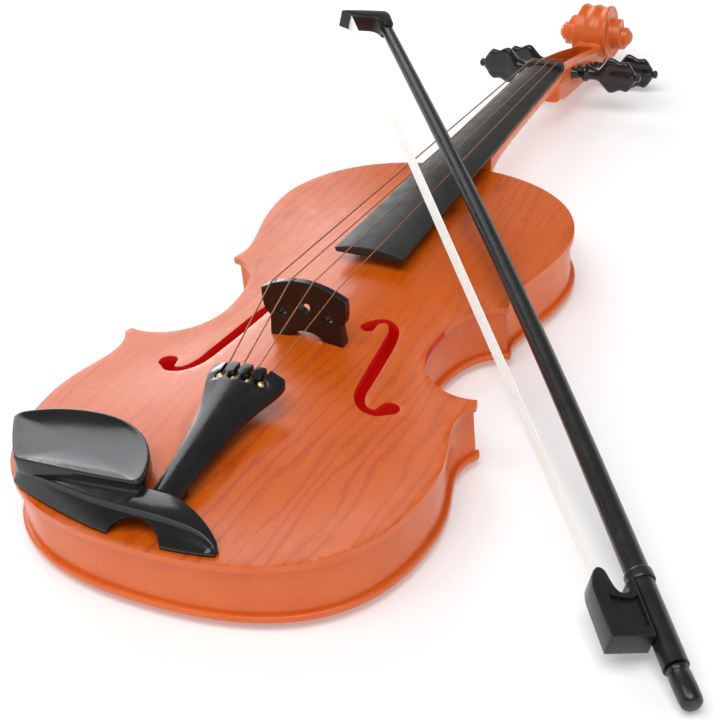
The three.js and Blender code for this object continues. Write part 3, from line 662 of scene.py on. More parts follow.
INNER_OUTLINE = outline(OVERHANG + RIB_WALL + 0.5)
RIB_MIDDLE = outline(OVERHANG + RIB_WALL / 2)


def inner_reach(centre):
    x, y = centre.x / MM, (centre.y - TAIL_FRAME.translation.y) / MM
    return bool(inside(np.array([(x, y)]), INNER_OUTLINE)[0])


def facing_in(centre):
    x, y = centre.x / MM, (centre.y - TAIL_FRAME.translation.y) / MM
    return bool(inside(np.array([(x, y)]), RIB_MIDDLE)[0])


# ---- neck, pegbox and scroll ----
def board_z(y):
    return mix(BOARD_END_Z, BOARD_NUT_Z, (y - BOARD_END_Y) / (NUT_Y - BOARD_END_Y))


def board_half(y):
    return mix(BOARD_END_HALF, BOARD_NUT_HALF, (y - BOARD_END_Y) / (NUT_Y - BOARD_END_Y))


def peg_z(y):
    return PEG_AXIS_Z - (y - PEG_AXIS_Y) * PEG_SLOPE


def neck_shaft():
    rows = curve_through([
        (267.3, 5.4), (268.2, 6.2), (270, 9.5), (273, 14), (277, 17.4), (283, 19.3), (300, 20.8), (345, 20.4),
        (357, 17.6), (366, 14.6)], 5)
    rings = []
    for y, under in rows:
        top = board_z(y) - BOARD_THICK
        half = board_half(min(y, NUT_Y)) - 0.3
        arc = [math.pi + math.pi * k / 28 for k in range(29)]
        rings.append([(half * math.cos(a), y, top + (top - under) * math.sin(a)) for a in arc])
    return loft(rings)


def pegbox_walls():
    rows = curve_through([
        (358, 22.2, 6.4, 8.7), (365.5, 21.8, 7.0, 8.7), (370, 21.6, 9.2, 8.6), (395, 16.8, 8, 7.8),
        (420, 11.6, 6.2, 6.6), (430, 13, 7.4, 6.2)], 6)
    return loft([[(a, y, z + b) for a, b in superellipse(half, tall, 6, 40)] for y, z, tall, half in rows])


def scroll_radius(turn):
    """Radius of the spiral after a number of turns from where it leaves the pegbox."""
    radii = [14.8, 15.0, 14.6, 12.6, 10.6, 9.4, 8.4, 7.2, 6.0, 5.2, 4.4]
    steps = [0, 0.25, 0.5, 0.75, 1.0, 1.25, 1.5, 1.75, 2.0, 2.25, 2.5]
    return float(np.interp(turn, steps, radii))


def scroll_half(turn):
    return float(np.interp(turn, [0, 0.5, 1.0, 1.5, 2.0, 2.5], [6.3, 7.6, 10.4, 13.4, 16.0, 17.4]))


def scroll_width(radius, turn):
    """Half width of the scroll at a radius, in the direction reached after a part of a turn."""
    level = 0
    while level < 2 and scroll_radius(turn + level + 1) >= radius:
        level += 1
    outer, inner = scroll_radius(turn + level), scroll_radius(turn + level + 1)
    if level == 2:
        inner = 3.4
    if radius < 3.4:
        return 19.0 - 0.12 * radius ** 2
    dish = math.sin(math.pi * min(max((outer - radius) / (outer - inner), 0), 1))
    return scroll_half(turn + level) - 0.9 * dish


def scroll_shape(spokes=120, rings=64):
    """Both faces of the spiral as one closed skin over a polar grid in the Y-Z plane."""
    verts, faces = [], []
    for side in (1, -1):
        for s in range(spokes):
            turn = s / spokes
            angle = 2 * math.pi * turn - math.pi / 2
            outer = scroll_radius(turn)
            for r in range(rings + 1):
                radius = outer * r / rings
                wide = scroll_width(max(radius - 0.01, 0), turn)
                edge = 1.0 if r < rings else 0.93
                verts.append((side * wide * edge, SCROLL_Y + radius * math.cos(angle),
                              SCROLL_Z + radius * math.sin(angle)))
    half_count = spokes * (rings + 1)
    for s in range(spokes):
        t = (s + 1) % spokes
        for r in range(rings):
            a, b = s * (rings + 1) + r, t * (rings + 1) + r
            faces.append((a, a + 1, b + 1, b))
            faces.append(tuple(half_count + i for i in (a, b, b + 1, a + 1)))
        a, b = s * (rings + 1) + rings, t * (rings + 1) + rings
        faces.append((a, half_count + a, half_count + b, b))
    return verts, faces


def make_neck():
    shaft = raw_object("violin_neck", joined(neck_shaft(), pegbox_walls(), scroll_shape()))
    neck = remeshed(shaft, 0.42, 5)
    flute(neck)
    slot = loft([[(a, y, peg_z(y) + 9 + b) for a, b in superellipse(half, 14, 9, 32)]
                 for y, half in ((367.5, 6.0), (395, 5.2), (418.5, 4.3))])
    bores = [cylinder("x", PEG_BORE_RADIUS, -20, 20, (y, peg_z(y))) for _, _, _, y, _ in STRINGS.values()]
    holes = [raw_object("hole", bore) for bore in bores]
    neck = cut(neck, raw_object("slot", slot), *holes)
    finished(neck, SIDE, "orange_side", "violin", "neck", sharp=60)


def flute(made):
    """Two hollow flutes with a ridge between them along the back and rim of the scroll."""
    base = TAIL_FRAME.translation.y
    for vert in made.data.vertices:
        x, y, z = vert.co.x / MM, (vert.co.y - base) / MM - SCROLL_Y, vert.co.z / MM - SCROLL_Z
        radius = math.hypot(y, z)
        turn = ((math.atan2(z, y) + math.pi / 2) / (2 * math.pi)) % 1.0
        outer = scroll_radius(turn)
        if turn < 0.8 and abs(radius - outer) < 1.2 and abs(x) < scroll_half(turn) * 0.9:
            depth = 0.9 * math.sin(math.pi * abs(x) / (scroll_half(turn) * 0.9)) ** 2
            depth *= smooth(min(turn / 0.06, (0.8 - turn) / 0.1))
            vert.co.y -= depth * y / radius * MM
            vert.co.z -= depth * z / radius * MM


def make_fingerboard():
    rings = []
    for k in range(25):
        y = mix(BOARD_END_Y, NUT_Y - 0.3, k / 24)
        half, top = board_half(y), board_z(y)
        over = [(half * t, y, top + 0.4 - BOARD_CROWN * t * t) for t in np.linspace(-1, 1, 25)]
        under = [(half * t, y, top - BOARD_THICK) for t in (0.94, 0.5, 0, -0.5, -0.94)]
        rings.append(over + under)
    board = bevelled(raw_object("fingerboard_black", loft(rings)), 0.45, 3, 40)
    finished(board, BOARD, "board_plastic", "violin", "fingerboard")


def make_nut():
    rings = [[(a, y, NUT_TOP_Z - 2.6 - GAP + b + 0.25 * (1 - (a / BOARD_NUT_HALF) ** 2))
              for a, b in superellipse(BOARD_NUT_HALF, 2.2, 7, 48)] for y in (NUT_Y, NUT_Y + NUT_LENGTH)]
    nut_piece = raw_object("nut_black", loft(rings))
    grooves = [raw_object("groove", cylinder("y", 0.6, NUT_Y - 1, NUT_Y + 5, (x, NUT_TOP_Z + 0.25), 16))
               for _, x, _, _, _ in STRINGS.values()]
    nut_piece = bevelled(cut(nut_piece, *grooves), 0.3, 2)
    finished(nut_piece, BOARD, "board_plastic", "violin", "nut")


# ---- strings and pegs ----
def bridge_z(x):
    return BRIDGE_CROWN_Z - (BRIDGE_CROWN_Z - BRIDGE_CORNER_Z) * (x / BRIDGE_CORNER_X) ** 2


def tailpiece_z(y):
    return mix(TAIL_LOW_Z, TAIL_HIGH_Z, (y - TAIL_LOW_Y) / (TAIL_HIGH_Y - TAIL_LOW_Y))


def make_string(name, x, nut_x, radius, peg_y):
    lift = radius + 0.3
    points = [
        (x * TAIL_SPREAD, TAIL_HIGH_Y - 5.4, BALL_Z + 0.5),
        (x * 0.7, TAIL_HIGH_Y + 4, mix(BALL_Z, bridge_z(x) + lift, 0.2)),
        (x, BRIDGE_Y - 2, bridge_z(x) + lift - 0.35), (x, BRIDGE_Y, bridge_z(x) + lift),
        (x * 0.999, BRIDGE_Y + 2, bridge_z(x) + lift - 0.12),
        (nut_x, NUT_Y + 0.6, NUT_TOP_Z + lift + 0.06), (nut_x, NUT_Y + 1.8, NUT_TOP_Z + lift),
        (nut_x * 0.98, NUT_Y + 3.2, NUT_TOP_Z + lift - 0.45),
        (nut_x * 0.55, peg_y - 0.6, peg_z(peg_y) + 4.1 + lift - 0.3),
    ]
    wire = raw_object(f"string_wire_{name}", tube(points, radius, 12))
    finished(wire, WIRE, "steel", "violin", f"string_{name}")


def make_winding(name, nut_x, radius, peg_y):
    turns, inner = 3.5, 3.25
    steps = int(turns * 24)
    width = 2.2 * radius * turns
    points = []
    for k in range(steps + 1):
        angle = 2 * math.pi * turns * k / steps
        along = nut_x * 0.55 - width / 2 + width * k / steps
        points.append((along, peg_y + (inner + radius) * math.sin(angle),
                       peg_z(peg_y) + (inner + radius) * math.cos(angle)))
    coil = raw_object(f"string_coil_{name}", tube_helix(points, radius))
    finished(coil, WIRE, "steel", f"tuning_peg_{name}", f"string_winding_{name}")


def tube_helix(points, radius, sides=8):
    """A round wire along a helix round X."""
    path = [Vector(p) for p in points]
    rings = []
    for i, point in enumerate(path):
        along = (path[min(i + 1, len(path) - 1)] - path[max(i - 1, 0)]).normalized()
        side = along.cross(Vector((1, 0, 0))).normalized()
        up = side.cross(along)
        rings.append([point + radius * (math.cos(a) * side + math.sin(a) * up)
                      for a in (2 * math.pi * k / sides for k in range(sides))])
    return loft(rings)


PEG_SHANK = [
    (-11.4, 0), (-11.4, 2.2), (-11.2, 2.4), (10.6, 2.9), (10.9, 3.4), (11.3, 4.1), (12.2, 4.3), (13.1, 4.1),
    (13.6, 3.5), (14.4, 3.1), (17, 3.0), (19.5, 3.6), (21, 3.4), (22, 0),
]
PEG_HEAD = [
    (17.5, 2.6, 2.6), (19, 3.4, 3.2), (21, 5.8, 3.3), (23, 8.4, 2.9),
    (24.6, 9.0, 2.6), (26.6, 8.4, 2.4), (28.6, 7.3, 2.4), (30.4, 7.3, 2.5),
    (32.2, 7.6, 2.6), (33.8, 6.4, 2.6), (35.2, 4.4, 2.4), (36.4, 2.6, 1.8),
]
PEG_PIP = [(35.6, 0), (35.6, 1.5), (36.8, 1.5), (37.6, 2.0), (38.5, 1.8), (39.0, 1.0), (39.1, 0)]


def make_peg(name, peg_y, side):
    placed = TAIL_FRAME @ Matrix.Translation((0, peg_y, peg_z(peg_y)))
    if side < 0:
        placed = placed @ Matrix.Rotation(math.pi, 4, "Z")
    rings = []
    for x, tall, thick in curve_through(PEG_HEAD, 4):
        ring = []
        for a, b in superellipse(tall, thick, 2.4, 36):
            waist = 1 - 0.3 * math.exp(-((abs(a) - 3.4) / 1.5) ** 2) * smooth((x - 21) / 5)
            ring.append((x, b * waist, a))
        rings.append(ring)
    shank = raw_object(f"peg_piece_{name}", lathe(PEG_SHANK), placed)
    head = raw_object("head", loft(rings), placed)
    pip = raw_object("pip", lathe(PEG_PIP), placed)
    whole = united(shank, head, pip)
    finished(whole, BLACK, "black_plastic", f"tuning_peg_{name}", f"peg_{name}", sharp=50)


def make_ball(name, x):
    radius = 1.6
    round_part = [(radius * -math.cos(a), radius * math.sin(a)) for a in np.linspace(0.3, 2.84, 14)]
    profile = [(-radius, 0), *round_part, (radius, 0)]
    placed = TAIL_FRAME @ Matrix.Translation((x * TAIL_SPREAD, KEYHOLE_Y, BALL_Z))
    ball = raw_object(f"ball_{name}", lathe(profile, 24), placed)
    ball = cut(ball, raw_object("bore", cylinder("x", 0.55, -3, 3, (0, 0), 16), placed))
    finished(ball, BRASS, "brass", "violin", f"ball_end_{name}")


# ---- bridge, tailpiece and chin rest ----
def bezier_2d(points, steps=10):
    """Points along a curve given by three or four control points."""
    p = [np.array(q, float) for q in points]
    out = []
    for i in range(steps + 1):
        t = i / steps
        if len(p) == 3:
            out.append((1 - t) ** 2 * p[0] + 2 * (1 - t) * t * p[1] + t * t * p[2])
        else:
            out.append(cubic_point(*p, t))
    return out


def without_repeats(points):
    kept = [points[0]]
    for p in points[1:]:
        if np.linalg.norm(np.array(p) - np.array(kept[-1])) > 0.05:
            kept.append(p)
    if np.linalg.norm(np.array(kept[0]) - np.array(kept[-1])) < 0.05:
        kept.pop()
    return np.array(kept)


def bridge_outline():
    foot_out, foot_in = top_z(14.7, BRIDGE_Y) + 0.12, top_z(6.6, BRIDGE_Y) + 0.12
    right = bezier_2d([(-6.6, foot_in), (-5.2, 34.6), (4, 35.6), (6.6, foot_in)])
    right += bezier_2d([(14.7, foot_out), (14.4, 35), (14.2, 38)])
    right += bezier_2d([(14.2, 38), (14.4, 39.4), (15.9, 39.8)])
    right += bezier_2d([(15.9, 39.8), (17.3, 44), (BRIDGE_CORNER_X, BRIDGE_CORNER_Z)])
    right += [np.array((x, bridge_z(x))) for x in np.linspace(BRIDGE_CORNER_X, -BRIDGE_CORNER_X, 27)[1:]]
    left = bezier_2d([(-BRIDGE_CORNER_X, BRIDGE_CORNER_Z), (-17.3, 44), (-15.9, 39.8)])
    left += bezier_2d([(-15.9, 39.8), (-14.4, 39.4), (-14.2, 38)])
    left += bezier_2d([(-14.2, 38), (-14.4, 35), (-14.7, foot_out)])
    return without_repeats(right + left)


def bridge_cutouts():
    """The heart in the middle and an eye on each side."""
    lobe = [(0, 41.2), (2.4, 42.4), (3.2, 44.8), (1.8, 45.7)]
    shoulder = [(1.8, 45.7), (0.6, 46.3), (0, 44.9)]
    right = bezier_2d(lobe) + bezier_2d(shoulder)
    left = [np.array((-x, z)) for x, z in right[::-1]]
    return [without_repeats(right + left), *(circle(side * 9.4, 40.6, 1.7, 24) for side in (1, -1))]


def make_bridge():
    flat = sheet_shape([bridge_outline(), *bridge_cutouts()], lambda x, y: -1.0, lambda x, y: 1.0, 2.0)
    verts = []
    for x, z, side in flat[0]:
        rise = (z - 30) / (BRIDGE_CROWN_Z - 30)
        half = mix(2.4, 1.2, rise)
        verts.append((x, BRIDGE_Y + side * half, z))
    made = bevelled(raw_object("bridge_piece", (verts, flat[1])), 0.4, 3, 50)
    finished(made, BRIDGE, "bridge_plastic", "violin", "bridge", sharp=45)


def make_tailpiece():
    rows = curve_through([
        (0, 0.98, 3.4), (0.06, 1.0, 3.7), (0.2, 1.1, 4), (0.4, 1.32, 4.4), (0.6, 1.62, 4.8),
        (0.75, 2.05, 5.2), (0.88, 2.6, 5.4), (0.96, 2.8, 5.2), (1, 2.62, 4.2)], 6)
    rings = []
    for t, widen, thick in rows:
        y, half = mix(TAIL_LOW_Y, TAIL_HIGH_Y, t), TAIL_LOW_HALF * widen
        top = tailpiece_z(y)
        profile = [(-0.94, -1), (0.94, -1), (1, -0.86), (1, -0.5), (0.6, 0.14), (0.54, 0.2), (0.25, 0.29),
                   (0, 0.31), (-0.25, 0.29), (-0.54, 0.2), (-0.6, 0.14), (-1, -0.5), (-1, -0.86)]
        rings.append([(half * a, y, top + thick * b) for a, b in profile])
    made = raw_object("tailpiece_piece", loft(rings))
    foot = cylinder("z", 3.8, top_z(0, TAIL_FOOT_Y + 4) + 0.4, tailpiece_z(TAIL_FOOT_Y) - 1, (0, TAIL_FOOT_Y))
    made = united(made, raw_object("foot", foot))
    cutters = []
    for x, _, _, _, _ in STRINGS.values():
        hole_x = x * TAIL_SPREAD
        keyhole = cylinder("z", KEYHOLE_RADIUS, 36, 52, (hole_x, KEYHOLE_Y))
        slot = box_shape((hole_x - 0.8, TAIL_HIGH_Y - 6, 36), (hole_x + 0.8, TAIL_HIGH_Y + 4, 52))
        cutters += [raw_object("keyhole", keyhole), raw_object("slot", slot)]
    made = bevelled(cut(made, *cutters), 0.28, 3, 30)
    finished(made, BLACK, "black_plastic", "violin", "tailpiece", sharp=32)


# The chin rest's bar: x, front y, step y, rear y, z below the step, z of the shelf.
CHIN_BAR = [
    (-56, 14.3, 16.2, 20, 29.4, 30.4), (-51, 12.2, 14.6, 23, 31.6, 32.8), (-38, 7.9, 11.4, 24, 33.2, 35.2),
    (-20, 3.9, 8.8, 24, 33.4, 35.8), (-11, 2.9, 8.3, 22, 33.4, 35.8), (-7, 2.6, 8.2, 18.8, 33.4, 35.8),
    (5, 2.5, 8.4, 18.4, 33.2, 35.4), (13, 3, 8.6, 16.2, 32.6, 34.4), (20, 3.9, 8.6, 12.8, 31.2, 32.6),
    (25, 4.9, 7.4, 9.6, 29.2, 30), (26.6, 5.4, 6.6, 7.8, 28, 28.3),
]
CHIN_ARCH_X, CHIN_ARCH_HALF, CHIN_ARCH_TALL = -1.8, 10.2, 6.8
CUP_LOW_Z = 32.6
CUP_CENTRE = np.array((-37.0, 29.5))


def cup_plan():
    curves = [
        [(-51.6, 13.2), (-30, 13.8), (-8, 16)], [(-8, 16), (-5.9, 16.4), (-6.2, 19.4)],
        [(-6.2, 19.4), (-8, 29), (-17, 44.8), (-37, 44.8)], [(-37, 44.8), (-54, 44.6), (-65.5, 36.4)],
        [(-65.5, 36.4), (-68, 34.4), (-66, 31.6)], [(-66, 31.6), (-61, 23), (-53, 13.8)],
    ]
    return without_repeats([p for curve in curves for p in bezier_2d(curve, 14)])


def chin_cup():
    """Rings of the plan from the hollow's middle over the rim and down to the underside."""
    rows = [  # share of the plan, height of the ring
        (0.02, 37.35), (0.2, 37.4), (0.4, 37.55), (0.6, 37.9), (0.76, 38.4), (0.88, 38.95), (0.94, 39.3),
        (0.965, 39.42), (0.985, 39.3), (0.997, 38.9), (1.0, 38.3), (1.0, CUP_LOW_Z + 0.9),
        (0.985, CUP_LOW_Z + 0.2), (0.95, CUP_LOW_Z), (0.5, CUP_LOW_Z), (0.02, CUP_LOW_Z),
    ]
    plan = cup_plan()
    return loft([[(*(CUP_CENTRE + share * (p - CUP_CENTRE)), z) for p in plan] for share, z in rows])


def chin_bar():
    low = TOP_EDGE_Z + 0.4
    rings = []
    for x, front, step, rear, low_step, shelf in curve_through(CHIN_BAR, 6):
        bulge = 0.25 * (low_step - low)
        profile = [
            (rear, top_z(x, rear) + 0.4), (rear, shelf), (step + 0.4, shelf), (step, shelf - 0.15),
            (step - 0.1, shelf - 0.5), (step - 0.3, low_step + 0.2), (step - 0.6, low_step - 0.1),
            (mix(front, step, 0.55), mix(low, low_step, 0.55) + bulge * 0.5), (front + 0.3, low + 1.2),
            (front, low + 0.6), (front, low),
        ]
        rings.append([(x, y, z) for y, z in profile])
    return loft(rings)


def make_chin_rest():
    sides, foot_z = 56, TOP_EDGE_Z - 0.5
    angles = [2 * math.pi * k / sides for k in range(sides)]
    arch_rings = [[(CHIN_ARCH_X + CHIN_ARCH_HALF * math.cos(a), y, foot_z + CHIN_ARCH_TALL * math.sin(a))
                   for a in angles] for y in (-10, 40)]
    bar = cut(raw_object("chin_rest_piece", chin_bar()), raw_object("arch", loft(arch_rings)))
    made = bevelled(united(bar, raw_object("cup", chin_cup())), 0.3, 2, 40)
    finished(made, BLACK, "black_plastic", "violin", "chin_rest", sharp=40)


# ---- screws ----
def screw_shape(length, head, shank):
    profile = [(0, 0), (0.0, head * 0.8), (0.25, head), (0.9, head), (1.1, shank)]
    pitch = 0.9
    for k in range(int((length - 3) / pitch)):
        x = 1.6 + k * pitch
        profile += [(x, shank), (x + pitch / 2, shank + 0.18)]
    profile += [(length - 1, shank), (length, 0)]
    return lathe(profile, 20)


def make_screw(name, placed, length, head, shank):
    made = raw_object(f"{name}_piece", screw_shape(length, head, shank), placed)
    across = head * 0.62
    for turned in (0, math.pi / 2):
        blade = box_shape((-0.5, -across, -0.28), (0.55, across, 0.28))
        made = cut(made, raw_object("blade", blade, placed @ Matrix.Rotation(turned, 4, "X")))
    finished(made, STEEL, "steel", "violin", name)


def make_screws():
    upward = Matrix.Rotation(-math.pi / 2, 4, "Y")
    for i, (x, y) in enumerate(BACK_SCREWS):
        placed = TAIL_FRAME @ Matrix.Translation((x, y, back_z(x, y) + 0.2)) @ upward
        make_screw(f"back_screw_{i + 1}", placed, 11, 2.3, 0.95)


# ---- bow ----
def stick_z(x):
    return BOW_CAMBER * math.sin(math.pi * x / BOW_LENGTH)


def stick_radius(x):
    return mix(BOW_BUTT_RADIUS, BOW_TIP_RADIUS, x / BOW_LENGTH)


def hair_z(x):
    return mix(HAIR_START_Z, HAIR_END_Z + 0.3, (x - HAIR_START) / (HAIR_END - HAIR_START))


def round_ring(x, z, radius, sides=28):
    angles = [2 * math.pi * k / sides for k in range(sides)]
    return [(x, radius * math.cos(a), z + radius * math.sin(a)) for a in angles]


def side_prism(points, half):
    return loft([[(x, y, z) for x, z in points] for y in (-half, half)])


SCREW_Z = stick_z(40)


def make_stick():
    stations = np.linspace(STICK_START, BOW_LENGTH - 4, 70)
    rings = [round_ring(x, stick_z(x), stick_radius(x)) for x in stations]
    stick = raw_object("bow_stick_piece", loft(rings), BOW_FRAME)
    end = BOW_LENGTH
    points = without_repeats(
        [np.array((end - 11, 2.6))]
        + bezier_2d([(end - 11, -1.8), (end - 6.4, -2.4), (end - 6, -6)])
        + [np.array((end - 5.6, HAIR_END_Z + 1)), np.array((end - 2.2, -19.4)), np.array((end - 0.8, -19))]
        + bezier_2d([(end - 0.8, -19), (end - 0.1, -13), (end, -6)]) + [np.array((end, 1))]
        + bezier_2d([(end, 1), (end - 1, 2.9), (end - 4, 2.9)]))
    head = bevelled(raw_object("head", side_prism(points, 3.85), BOW_FRAME), 0.6, 3, 40)
    pocket_z, pocket_half = hair_z(HAIR_END), HAIR_HALF + 0.2
    pocket_box = box_shape((HAIR_END - 2.9, -pocket_half, pocket_z - 0.65),
                           (HAIR_END + 0.5, pocket_half, pocket_z + 0.65))
    pocket = raw_object("pocket", pocket_box, BOW_FRAME)
    bore_shape = cylinder("x", 1.9, STICK_START - 1, STICK_START + 60, (0, SCREW_Z), 24)
    bore = raw_object("bore", bore_shape, BOW_FRAME)
    slot = raw_object("slot", box_shape((23, -1.5, -8), (35, 1.5, SCREW_Z)), BOW_FRAME)
    whole = cut(united(stick, head), pocket, bore, slot)
    finished(whole, BOW_BLACK, "black_plastic", "bow", "bow_stick", sharp=40)


def make_hair():
    """A ribbon of flat strands side by side."""
    strands = 22
    pitch = 2 * HAIR_HALF / strands
    shapes = []
    for k in range(strands):
        y = -HAIR_HALF + pitch * (k + 0.5)
        lift = 0.12 * math.sin(k * 2.4)
        rings = []
        for x in np.linspace(HAIR_START, HAIR_END, 24):
            wave = lift * math.sin(math.pi * (x - HAIR_START) / (HAIR_END - HAIR_START))
            rings.append([(x, y + a, hair_z(x) + b + wave) for a, b in superellipse(pitch * 0.56, 0.2, 2, 8)])
        shapes.append(loft(rings))
    ribbon = raw_object("bow_hair_piece", joined(*shapes), BOW_FRAME)
    finished(ribbon, HAIR, "bow_hair", "bow", "bow_hair", sharp=80)


def make_collar():
    middle_z = stick_z((COLLAR_START + COLLAR_END) / 2)
    hole = stick_radius(COLLAR_START) + GAP
    width = COLLAR_END - COLLAR_START
    profile = [(0, hole), (0, hole + 0.2), (0.3, hole + 0.42), (0.9, hole + 0.5), (width - 0.9, hole + 0.5),
               (width - 0.3, hole + 0.42), (width, hole + 0.2), (width, hole)]
    rings = [round_ring(COLLAR_START + x, middle_z, radius, 40) for x, radius in profile]
    rings.append(rings[0])
    made = raw_object("bow_collar_piece", loft(rings, closed_ends=False), BOW_FRAME)
    finished(made, BOW_BLACK, "black_plastic", "bow", "bow_collar", sharp=50)


def frog_top_z(x):
    """The top of the frog, clear of the curved stick over its whole travel."""
    return stick_z(x - FROG_TRAVEL) - stick_radius(x - FROG_TRAVEL) - 0.1


def make_frog():
    nose, tongue = FROG_NOSE_Z, FROG_TONGUE
    points = without_repeats(
        [np.array((FROG_REAR, frog_top_z(FROG_REAR))), np.array((FROG_REAR + 0.8, FROG_BOTTOM_Z)),
         np.array((tongue - 8, nose))]
        + bezier_2d([(tongue - 8, nose), (tongue - 2, nose + 0.6), (tongue, nose + 4)])
        + bezier_2d([(tongue, nose + 4), (tongue, nose + 6.2), (tongue - 3, nose + 6.4)])
        + bezier_2d([(tongue - 3, nose + 6.4), (42.4, -10.2), (39.8, -9.6), (39.8, -7.6)])
        + bezier_2d([(39.8, -7.6), (40, -5.6), (43, -5.6)])
        + bezier_2d([(43, -5.6), (FROG_FRONT, -5.4), (FROG_FRONT, frog_top_z(FROG_FRONT))]))
    body = bevelled(raw_object("bow_frog_piece", side_prism(points, FROG_HALF), BOW_FRAME), 0.7, 3, 50)
    panel = without_repeats(
        [np.array((FROG_REAR + 3.6, frog_top_z(FROG_REAR) - 0.8)),
         np.array((FROG_REAR + 4.2, FROG_BOTTOM_Z + 4.2)), np.array((tongue - 11, nose + 4))]
        + bezier_2d([(tongue - 11, nose + 4), (38.4, -10.6), (37, -8), (37.6, -5.5)])
        + [np.array((38.6, frog_top_z(38.6) - 0.8))])
    panels = []
    for side in (1, -1):
        low, high = sorted((side * (FROG_HALF - 1.1), side * (FROG_HALF + 2)))
        rings = [[(x, y, z) for x, z in panel] for y in (low, high)]
        panels.append(raw_object("panel", loft(rings), BOW_FRAME))
    channel_z, channel_half = hair_z(tongue), HAIR_HALF + 0.4
    channel_box = box_shape((tongue - 8.5, -channel_half, channel_z - 0.8),
                            (tongue + 7.5, channel_half, channel_z + 0.8))
    channel = raw_object("channel", channel_box, BOW_FRAME)
    eyelet = raw_object("eyelet", cylinder("z", 1.3, SCREW_Z - 6.15, SCREW_Z + 1.35, (30, 0), 20), BOW_FRAME)
    threads = raw_object("threads", cylinder("x", 0.8, 27, 33, (0, SCREW_Z), 16), BOW_FRAME)
    whole = cut(united(body, eyelet), threads, channel, *panels)
    finished(whole, BOW_BLACK, "black_plastic", "frog", "bow_frog", sharp=30)


def make_bow_screw():
    low = SCREW_Z * 0.35
    profile = [(0, 0), (0.0, 1.8), (0.25, 2.6), (1.0, 3.3), (2.2, 3.55), (6, 3.7), (11, 3.6), (11.8, 3.25),
               (12.2, 3.5), (BUTTON_LENGTH, 3.4), (BUTTON_LENGTH, 0)]
    button = raw_object("bow_button", lathe(profile, 40), BOW_FRAME @ Matrix.Translation((0, 0, low)))
    rod = raw_object("rod", cylinder("x", 0.65, 11, 47, (0, SCREW_Z), 16), BOW_FRAME)
    whole = united(button, rod)
    finished(whole, BOW_BLACK, "black_plastic", "bow_screw", "bow_screw", sharp=40)


# ---- set, light and camera ----
def make_stage():
    bpy.ops.mesh.primitive_plane_add(size=12, location=(0, 0, -0.0002))
    floor = bpy.context.object
    floor.name = "floor"
    paper = new_material("floor", (0.80, 0.80, 0.80), 0.8, Specular_IOR_Level=0.05)
    shader_of(paper).inputs["Emission Color"].default_value = (1, 1, 1, 1)
    shader_of(paper).inputs["Emission Strength"].default_value = FLOOR_GLOW
    floor.data.materials.append(paper)


BACKDROP = (0.5, 0.5, 0.5, 1)
FLOOR_GLOW = 0.24
SKY_LEVELS = [(0.0, 1.3), (0.12, 1.2), (0.3, 0.55), (0.5, 0.22), (1.0, 0.25)]


def area_light(name, location, target, size, power, color):
    data = bpy.data.lights.new(name, "AREA")
    data.size = size
    data.energy = power
    data.color = color
    made = bpy.data.objects.new(name, data)
    made.location = location
    made.rotation_euler = (Vector(target) - Vector(location)).to_track_quat("-Z", "Y").to_euler()
    bpy.context.scene.collection.objects.link(made)


def make_world():
    """Bright near the horizon and dim overhead; behind the object, the grey of the far floor."""
    world = bpy.data.worlds.new("studio")
    bpy.context.scene.world = world
    world.use_nodes = True
    sky = world.node_tree.nodes["Background"]
    backdrop = node(world, "ShaderNodeBackground", Color=BACKDROP)
    direction = node(world, "ShaderNodeTexCoord")
    split = node(world, "ShaderNodeSeparateXYZ")
    path = node(world, "ShaderNodeLightPath")
    choose = node(world, "ShaderNodeMixShader")
    link(world, direction.outputs["Generated"], split.inputs["Vector"])
    link(world, ramp(world, split.outputs["Z"], [(z, (v, v, v)) for z, v in SKY_LEVELS]), sky.inputs["Color"])
    link(world, path.outputs["Is Camera Ray"], choose.inputs["Fac"])
    link(world, sky.outputs["Background"], choose.inputs[1])
    link(world, backdrop.outputs["Background"], choose.inputs[2])
    link(world, choose.outputs["Shader"], world.node_tree.nodes["World Output"].inputs["Surface"])


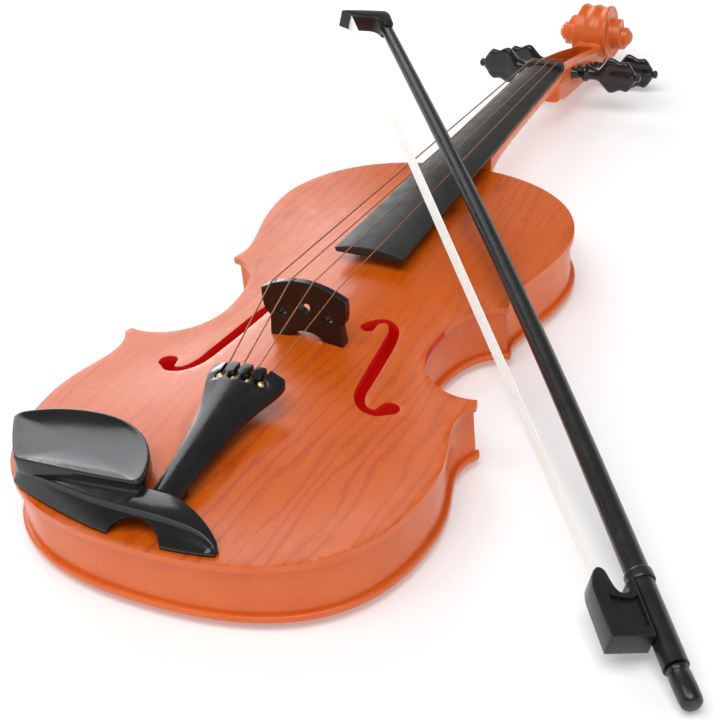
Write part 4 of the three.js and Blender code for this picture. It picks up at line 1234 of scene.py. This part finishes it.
# name: place, where it points, size, power, colour
LIGHTS = {
    "key": ((0.25, -0.45, 1.4), (0, 0.05, 0), 1.0, 13, (1, 1, 1)),
    "left_window": ((-1.0, 0.92, 0.85), (-0.03, -0.03, 0.03), 0.95, 8, (0.93, 0.96, 1.0)),
    "left_strip": ((-1.2, 1.0, 0.12), (0, -0.05, 0.04), 0.6, 7, (1, 1, 1)),
    "overhead": ((-0.5, -0.45, 1.15), (-0.03, -0.1, 0.03), 0.5, 3, (1, 1, 1)),
}


def make_light():
    make_world()
    for name, values in LIGHTS.items():
        area_light(name, *values)
    bpy.context.scene.view_settings.view_transform = "Standard"


CAMERA_PLACE = Vector((260.6, -311.0, 356.4))
CAMERA_FORWARD = Vector((-0.4041, 0.7255, -0.5570))
CAMERA_RIGHT = Vector((0.8960, 0.4366, -0.0815))
CAMERA_UP = Vector((-0.1840, 0.5320, 0.8264))
CAMERA_LENS, CAMERA_SENSOR = 82.42, 36


def make_camera():
    data = bpy.data.cameras.new("camera")
    data.lens = CAMERA_LENS
    data.sensor_width = CAMERA_SENSOR
    data.clip_start = 0.01
    camera = bpy.data.objects.new("camera", data)
    turn = Matrix((CAMERA_RIGHT, CAMERA_UP, -CAMERA_FORWARD)).transposed().to_4x4()
    camera.matrix_world = Matrix.Translation(TAIL_FRAME @ CAMERA_PLACE) @ turn
    bpy.context.scene.collection.objects.link(camera)
    bpy.context.scene.camera = camera


def finish_cad_nodes():
    """The hidden inner pieces stay as the CAD made them, with better materials."""
    for name in ("bass_bar", "sound_post", "neck_block"):
        set_material(name, WOOD)
    for name in ("neck_screw_1", "neck_screw_2", "chin_rest_screw_1", "chin_rest_screw_2", "tailpiece_screw"):
        set_material(name, STEEL)


def set_material(name, material):
    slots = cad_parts[name].data.materials
    slots.clear()
    slots.append(material)


make_camera()
make_light()
make_stage()
make_body()
make_neck()
make_fingerboard()
make_nut()
for string_name, (x, nut_x, radius, peg_y, side) in STRINGS.items():
    make_string(string_name, x, nut_x, radius, peg_y)
    make_winding(string_name, nut_x, radius, peg_y)
    make_peg(string_name, peg_y, side)
    make_ball(string_name, x)
make_bridge()
make_tailpiece()
make_chin_rest()
make_screws()
make_stick()
make_hair()
make_collar()
make_frog()
make_bow_screw()
finish_cad_nodes()
